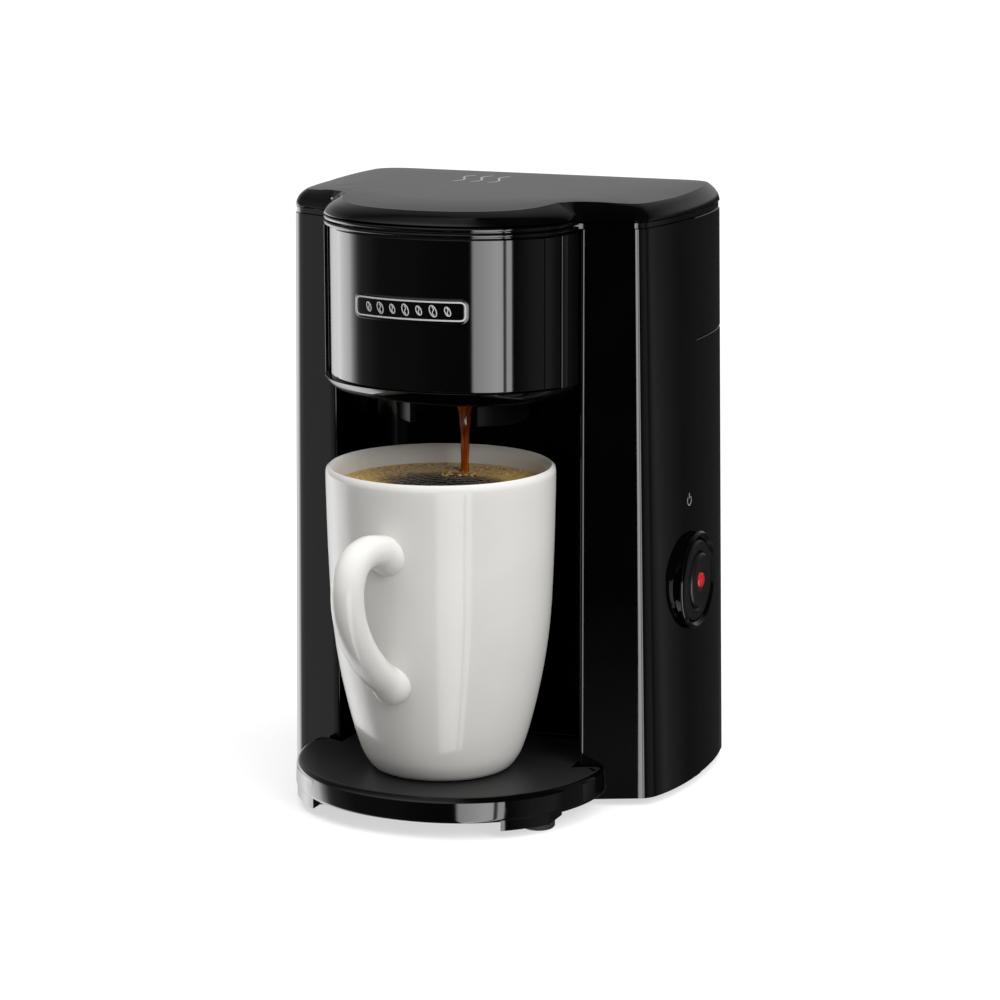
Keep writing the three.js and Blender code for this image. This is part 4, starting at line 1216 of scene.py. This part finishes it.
def build_power_mark():
    """The usual power symbol above the switch."""
    def place(u, v, lift):
        y, z = 37.5 + u, 108.4 + v
        return (side_x(y, z) + lift, y, z)

    turns = [radians(40 + 280 * k / 28) for k in range(29)]
    arc = [(1.75 * sin(t), -0.5 + 1.75 * cos(t)) for t in turns]
    bar = [(0, 0.3 + 2.0 * k / 4) for k in range(5)]
    lines = merged(*(ribbon(line, 0.42, place, 0.02) for line in (arc, bar)))
    make("power_mark", *lines, PRINT_DIM, "machine", [], "trim_silver", 30)


# ---- Foot plate ----


def build_foot_plate():
    edges = [
        (BASE_LOW, 2.6), (BASE_LOW, 1.4), (BASE_LOW + 0.25, 0.6), (BASE_LOW + 0.9, 0.1), (BASE_LOW + 1.6, 0.0),
        (BASE_TOP - 2.2, 0.25), (BASE_TOP - 1.4, 0.4), (BASE_TOP - 0.6, 0.85), (BASE_TOP - 0.15, 1.5),
        (BASE_TOP, 2.3),
    ]
    rings = [[(x, y, z) for x, y in mirrored(base_path(inset))] for z, inset in edges]
    verts, faces = loft(rings, cap=False)
    n = len(rings[0])
    last = (len(rings) - 1) * n
    tris = filled(rings[-1])[1]
    faces += [[last + i for i in t] for t in tris]
    under = [(x, y, z) for z, inset in ((BASE_LOW, 2.6), (BASE_TOP - 2.6, 2.8)) for x, y in mirrored(base_path(inset))]
    parts = [(verts, faces), (under, quads(n, 2) + [[n + i for i in t] for t in tris])]
    for side in (-1, 1):
        outline = [p for p in mirrored(regular(base_path(0.15), 260)) if 36.4 < side * p[0] < 49.6 and p[1] < -24]
        outline = sorted(outline, key=lambda p: p[0])
        loop = outline + [(outline[-1][0], -24.0), (outline[0][0], -24.0)]
        parts.append(loft([[(x, y, z) for x, y in loop] for z in (3.0, BASE_TOP - 2.0)]))
    piece = make(
        "foot_plate_skin", *merged(*parts), GLOSS, "machine", ["foot_plate"], "satin_black", 32, (BASE_GRAIN,)
    )
    for face in piece.data.polygons:
        if face.center.z > (BASE_TOP - 0.25) * MM:
            face.material_index = 1


# ---- Mug and coffee ----

MUG_OUT = [
    (0, 1.4), (20.6, 1.4), (22.3, 0.2), (23.4, 0.0), (24.8, 0.5), (26.6, 2.4), (29.4, 7.5), (33.0, 19.5), (36.8, 37),
    (39.2, 55), (40.4, 78), (41.0, 100), (41.1, 107.8), (41.0, 109.4), (40.4, 110.5), (39.7, 110.7),
]
MUG_IN = [
    (38.9, 110.4), (38.3, 109.4), (37.9, 106), (37.3, 92), (36.6, 76), (35.0, 52), (30.6, 26), (25.5, 12.5),
    (20, 8.2), (12, 6.8), (0, 6.6),
]


def fine_profile(points, count):
    return [(max(0.0, p.x), p.y) for p in spline([(r, h, 0) for r, h in points], count)]


def build_mug():
    out = MUG_OUT[:2] + fine_profile(MUG_OUT[1:], 70)[1:]
    profile = out + fine_profile([MUG_OUT[-1]] + MUG_IN, 60)[1:]
    z = MUG_LOW[2]
    cup = turned(profile, 160, "z", (MUG_X, MUG_Y, z))
    line = [
        (0, -36.2, 84.6), (0, -40.6, 86.0), (0, -46, 87.8), (0, -53.5, 88.8), (0, -60.8, 87.2), (0, -65.4, 82.6),
        (0, -66.9, 75.5), (0, -65, 66.2), (0, -59.2, 56.4), (0, -50.4, 47.2), (0, -41.5, 40.6), (0, -35.2, 37.6),
    ]
    points = spline(line, 90)
    grip = swept(points, handle_radius, 36)
    c, s = cos(MUG_TURN), sin(MUG_TURN)
    turned_grip = [(MUG_X + x * c - y * s, MUG_Y + x * s + y * c, z + h) for x, y, h in grip[0]]
    make("mug_body", *merged(cup, (turned_grip, grip[1])), GLAZE, "mug", ["mug"], "mug_glaze", 60)


def handle_radius(t):
    """The grip's radius along its length: flared where it meets the cup."""
    top = 2.2 * exp(-((t - 0.02) / 0.045) ** 2)
    bottom = 1.8 * exp(-((t - 0.985) / 0.045) ** 2)
    return 5.5 + 0.25 * sin(pi * t) + top + bottom


def build_coffee():
    """Blender only: the coffee in the mug and the stream that falls into it."""
    z = MUG_LOW[2] + MUG_TALL - COFFEE_DOWN
    r = COFFEE_R
    random.seed(4)
    profile = [(rad, 0.35 * max(0, (rad - r + 1.4) / 1.4) ** 2) for rad in (r * k / 40 for k in range(41))]
    verts, faces = turned(profile, 96, "z", (MUG_X, MUG_Y, z))
    skirt = turned([(r, 0.35), (r, -2.0), (0, -2.0)], 96, "z", (MUG_X, MUG_Y, z))
    splash = (0.0, BREW_Y - 0.6)
    waved = []
    for x, y, h in verts:
        d = hypot(x - splash[0], y - splash[1])
        inside = hypot(x - MUG_X, y - MUG_Y) < r - 0.6
        waved.append((x, y, h + (0.42 * exp(-d / 7) * cos(d * 1.45) if inside else 0)))
    look = coffee_surface(
        "coffee_liquid", (MUG_X * MM, MUG_Y * MM, z * MM), r * MM, (splash[0] * MM, splash[1] * MM, z * MM)
    )
    pieces = [make("coffee_level", *merged((waved, faces), skirt), look, "mug", [], "matt_black", 60)]

    bubbles = []
    for _ in range(150):
        t, d = random.uniform(0, 2 * pi), r * (1 - abs(random.gauss(0, 0.16)))
        size = random.choice((0.35, 0.5, 0.7, 0.95))
        d = min(d, r - size - 0.3)
        bubbles.append(dome(MUG_X + d * cos(t), MUG_Y + d * sin(t), z - 0.05, size))
    for _ in range(46):
        t, d = random.uniform(0, 2 * pi), random.uniform(3.4, 9)
        size = random.choice((0.4, 0.6, 0.9))
        x, y = splash[0] + d * cos(t), splash[1] - 3 + d * sin(t)
        if hypot(x - MUG_X, y - MUG_Y) < r - 1.5:
            bubbles.append(dome(x, y, z - 0.05, size))
    pieces.append(make("coffee_bubbles", *merged(*bubbles), BUBBLE, "mug", [], "matt_black", 80))

    top = 147.6
    path = spline([
        (0, BREW_Y, top), (0.05, BREW_Y - 0.1, top - 8), (0.2, BREW_Y - 0.35, (top + z) / 2),
        (0.1, BREW_Y - 0.6, z - 1.2),
    ], 80)
    verts, faces = swept(path, stream_radius)
    stream = make("coffee_stream", verts, faces, coffee_stream("coffee_falling"), "machine", [], "matt_black", 80)
    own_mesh(stream)
    for piece in pieces + [stream]:
        piece.visible_glossy = False


def stream_radius(t):
    """The falling coffee narrows as it speeds up, and widens again where it lands; t is the share of its fall."""
    narrowing = 2.05 * exp(-max(0.0, 32.0 * t - 2.6) / 6.6)
    return 1.46 + narrowing + 0.08 * sin(t * 21) + 0.6 * exp(-((1 - t) / 0.03) ** 2)


def dome(x, y, z, r):
    rings = [(r * cos(a), r * 0.75 * sin(a)) for a in (radians(d) for d in (0, 30, 60))]
    return turned(rings + [(0, r * 0.75)], 10, "z", (x, y, z))


def bubble_look():
    made, tree, bsdf = nodes_of("coffee_bubble")
    tone = noise(tree, 500, 2, 0.5)
    colours(tree, tone, "Fac", [(0.35, (0.3, 0.16, 0.04)), (0.65, (0.62, 0.44, 0.17))], bsdf)
    spread(tree, tone, "Fac", 0.08, 0.2, bsdf)
    return made


BUBBLE = bubble_look()


# ---- Bush for the mains lead ----


def build_grommet():
    profile = [
        (4.2, -3.4), (8.4, -3.4), (8.4, -1.2), (6.2, -1.2), (6.2, 2.0), (8.6, 2.0), (8.0, 4.4), (4.2, 4.4),
        (4.2, -3.4),
    ]
    verts, faces = turned(smooth_profile(profile, 0.5), 64, "y", (-42, 86.4, 20))
    make("lead_bush", verts, faces, RUBBER, "machine", ["cord_grommet"], "rubber_black")


# ---- Studio ----


def direction(azimuth, elevation):
    """The way to an azimuth from the front and a height above the horizon, in degrees."""
    a, e = radians(azimuth), radians(elevation)
    return Vector((sin(a) * cos(e), -cos(a) * cos(e), sin(e)))


def aim(holder, away, axis):
    holder.rotation_mode = "QUATERNION"
    holder.rotation_quaternion = away.to_track_quat(axis, "Y")


def add_camera():
    cam = bpy.data.cameras.new("camera")
    cam.sensor_width = 36
    cam.lens = 119.48
    cam.shift_x = -0.03565
    cam.clip_start, cam.clip_end = 0.05, 100
    holder = put_in_scene("camera", cam)
    holder.location = (0.46388, -1.08470, 0.35310)
    aim(holder, -direction(21.82, 11.67), "-Z")
    bpy.context.scene.camera = holder


def area_light(name, azimuth, elevation, distance, size, power):
    """A soft box, seen only as diffuse light: the studio's reflections are in the world."""
    data = bpy.data.lights.new(name, "AREA")
    data.shape = "RECTANGLE"
    data.size, data.size_y = size
    data.energy = power
    holder = put_in_scene(name, data)
    away = direction(azimuth, elevation)
    holder.location = Vector((0, 0, 0.1)) + away * distance
    aim(holder, away, "Z")
    holder.visible_glossy = False


# The reflected studio: the brightness of what stands at each azimuth from the front, in degrees.
STUDIO = [
    (-180, 0.05), (-168, 0.3), (-150, 0.9), (-140, 1.2), (-128, 2.2), (-112, 5.0), (-96, 5.6), (-89, 5.4), (-82, 2.2),
    (-76, 0.6), (-71, 0.3), (-64, 0.24), (-50, 0.1), (-25, 0.09), (-12, 0.05), (8, 0.03), (16.5, 0.03), (18.8, 5.8),
    (40, 8.6), (45, 8.0), (46.2, 0.6), (47.6, 0.6), (48.6, 7.4), (53.8, 7.2), (55.2, 0.03), (66, 0.12), (78, 0.24),
    (98, 0.3), (112, 0.08), (130, 0.3), (140, 0.14), (150, 0.05),
]


# Above the horizon it is CEILING, by the height of the direction, times CEILING_ROUND, by azimuth.
CEILING_ROUND = [
    (-180, 1.0), (-120, 1.0), (-75, 0.35), (-45, 1.2), (-15, 1.9), (12, 1.7), (26, 0.3), (40, 0.03), (128, 0.03),
    (155, 0.7), (180, 1.0),
]
CEILING = [(0.0, 0.62), (0.2, 0.62), (0.4, 0.36), (0.6, 0.27), (1.0, 0.25)]


def add_world():
    """A white room for diffuse light, and for reflections a dark one with tall soft boxes round it."""
    world = bpy.data.worlds.new("studio")
    bpy.context.scene.world = world
    world.use_nodes = True
    tree = world.node_tree
    tree.nodes.clear()

    def maths(operation, a, b):
        return node(tree, "Math", {0: a, 1: b}, operation=operation), "Value"

    parts = node(tree, "SeparateXYZ", {"Vector": (node(tree, "TexCoord", {}), "Generated")})
    angle = maths("ARCTAN2", (parts, "X"), maths("MULTIPLY", (parts, "Y"), -1))
    turn = node(tree, "MapRange", {"From Min": -pi, "From Max": pi, "Value": angle})

    def by_azimuth(table, shade):
        return ramp(tree, turn, "Result", [((a + 180) / 360, (shade(level),) * 3) for a, level in table]), "Color"

    top = 9.0
    around = maths("POWER", by_azimuth(STUDIO, lambda level: sqrt(level / top)), 2)
    above = (ramp(tree, parts, "Z", [(height, (level,) * 3) for height, level in CEILING]), "Color")
    upper = maths("MULTIPLY", above, by_azimuth(CEILING_ROUND, lambda level: level / 2))
    rise = node(
        tree, "MapRange", {"From Min": -0.02, "From Max": 0.08, "To Max": 1.0, "Value": (parts, "Z")},
        interpolation_type="SMOOTHSTEP",
    )
    reflected = node(tree, "Mix", {
        "Factor": (rise, "Result"), 2: maths("MULTIPLY", around, top), 3: maths("MULTIPLY", upper, 2.0),
    }, data_type="FLOAT")
    mirror = node(tree, "Background", {"Strength": (reflected, 0)})
    room = node(tree, "Background", {"Color": (1.0, 0.995, 0.985, 1), "Strength": 0.34})
    plain = node(tree, "Background", {"Strength": 1.0})
    path = node(tree, "LightPath", {})
    both = node(tree, "MixShader", {0: (path, "Is Glossy Ray"), 1: (room, 0), 2: (mirror, 0)})
    seen = node(tree, "MixShader", {0: (path, "Is Camera Ray"), 1: (both, 0), 2: (plain, 0)})
    node(tree, "OutputWorld", {"Surface": (seen, 0)})
    world.cycles.sampling_method = "NONE"


def add_floor():
    made, tree, bsdf = nodes_of("studio_floor")
    colours(tree, noise(tree, 3, 2, 0.5), "Fac", [(0.3, (0.42,) * 3), (0.7, (0.44,) * 3)], bsdf)
    put(bsdf, {
        "Emission Color": (1, 1, 1, 1), "Emission Strength": 0.6, "Roughness": 0.9, "Specular IOR Level": 0.0,
    })
    far = 40.0
    floor = flat_mesh("studio_floor", [(-far, -far, 0), (far, -far, 0), (far, far, 0), (-far, far, 0)], made)
    floor.visible_glossy = False
    floor.visible_diffuse = False


def card(name, a, b, low, high, levels):
    """An upright card seen only in reflections: black, or shining by levels at its bottom and top."""
    made, tree, bsdf = nodes_of(name)
    tree.nodes.remove(bsdf)
    parts = node(tree, "SeparateXYZ", {"Vector": (node(tree, "TexCoord", {}), "Object")})
    level = node(tree, "MapRange", {
        "From Min": low * MM, "From Max": high * MM, "To Min": levels[0], "To Max": levels[1],
        "Value": (parts, "Z"),
    })
    shine = node(tree, "Emission", {"Strength": (level, "Result")})
    wire(tree, shine, "Emission", tree.nodes["Material Output"], "Surface")
    corners = [(*a, low - 60), (*b, low - 60), (*b, 300), (*a, 300)]
    piece = flat_mesh(name, [tuple(v * MM for v in p) for p in corners], made)
    piece.visible_camera = piece.visible_diffuse = piece.visible_shadow = piece.visible_transmission = False


def add_lights():
    card("flag_right", (56.5, -20), (83, -20), 15, 72, (0.1, 0.0))
    area_light("key_right", 60, 32, 1.9, (1.0, 1.2), 25)
    area_light("fill_left", -104, 18, 1.9, (0.5, 1.2), 0.6)
    sun = bpy.data.lights.new("overhead", "SUN")
    sun.energy = 2.55
    sun.angle = radians(70)
    put_in_scene("overhead", sun).visible_glossy = False


scene = bpy.context.scene
scene.view_settings.view_transform = "Standard"
add_camera()
dress_cad()
build_housing()
build_bay()
build_head()
build_panel()
build_badge()
build_deck()
build_lid()
build_brewing()
build_switch()
build_spring()
build_power_mark()
build_foot_plate()
build_mug()
build_coffee()
build_grommet()
add_floor()
add_lights()
add_world()
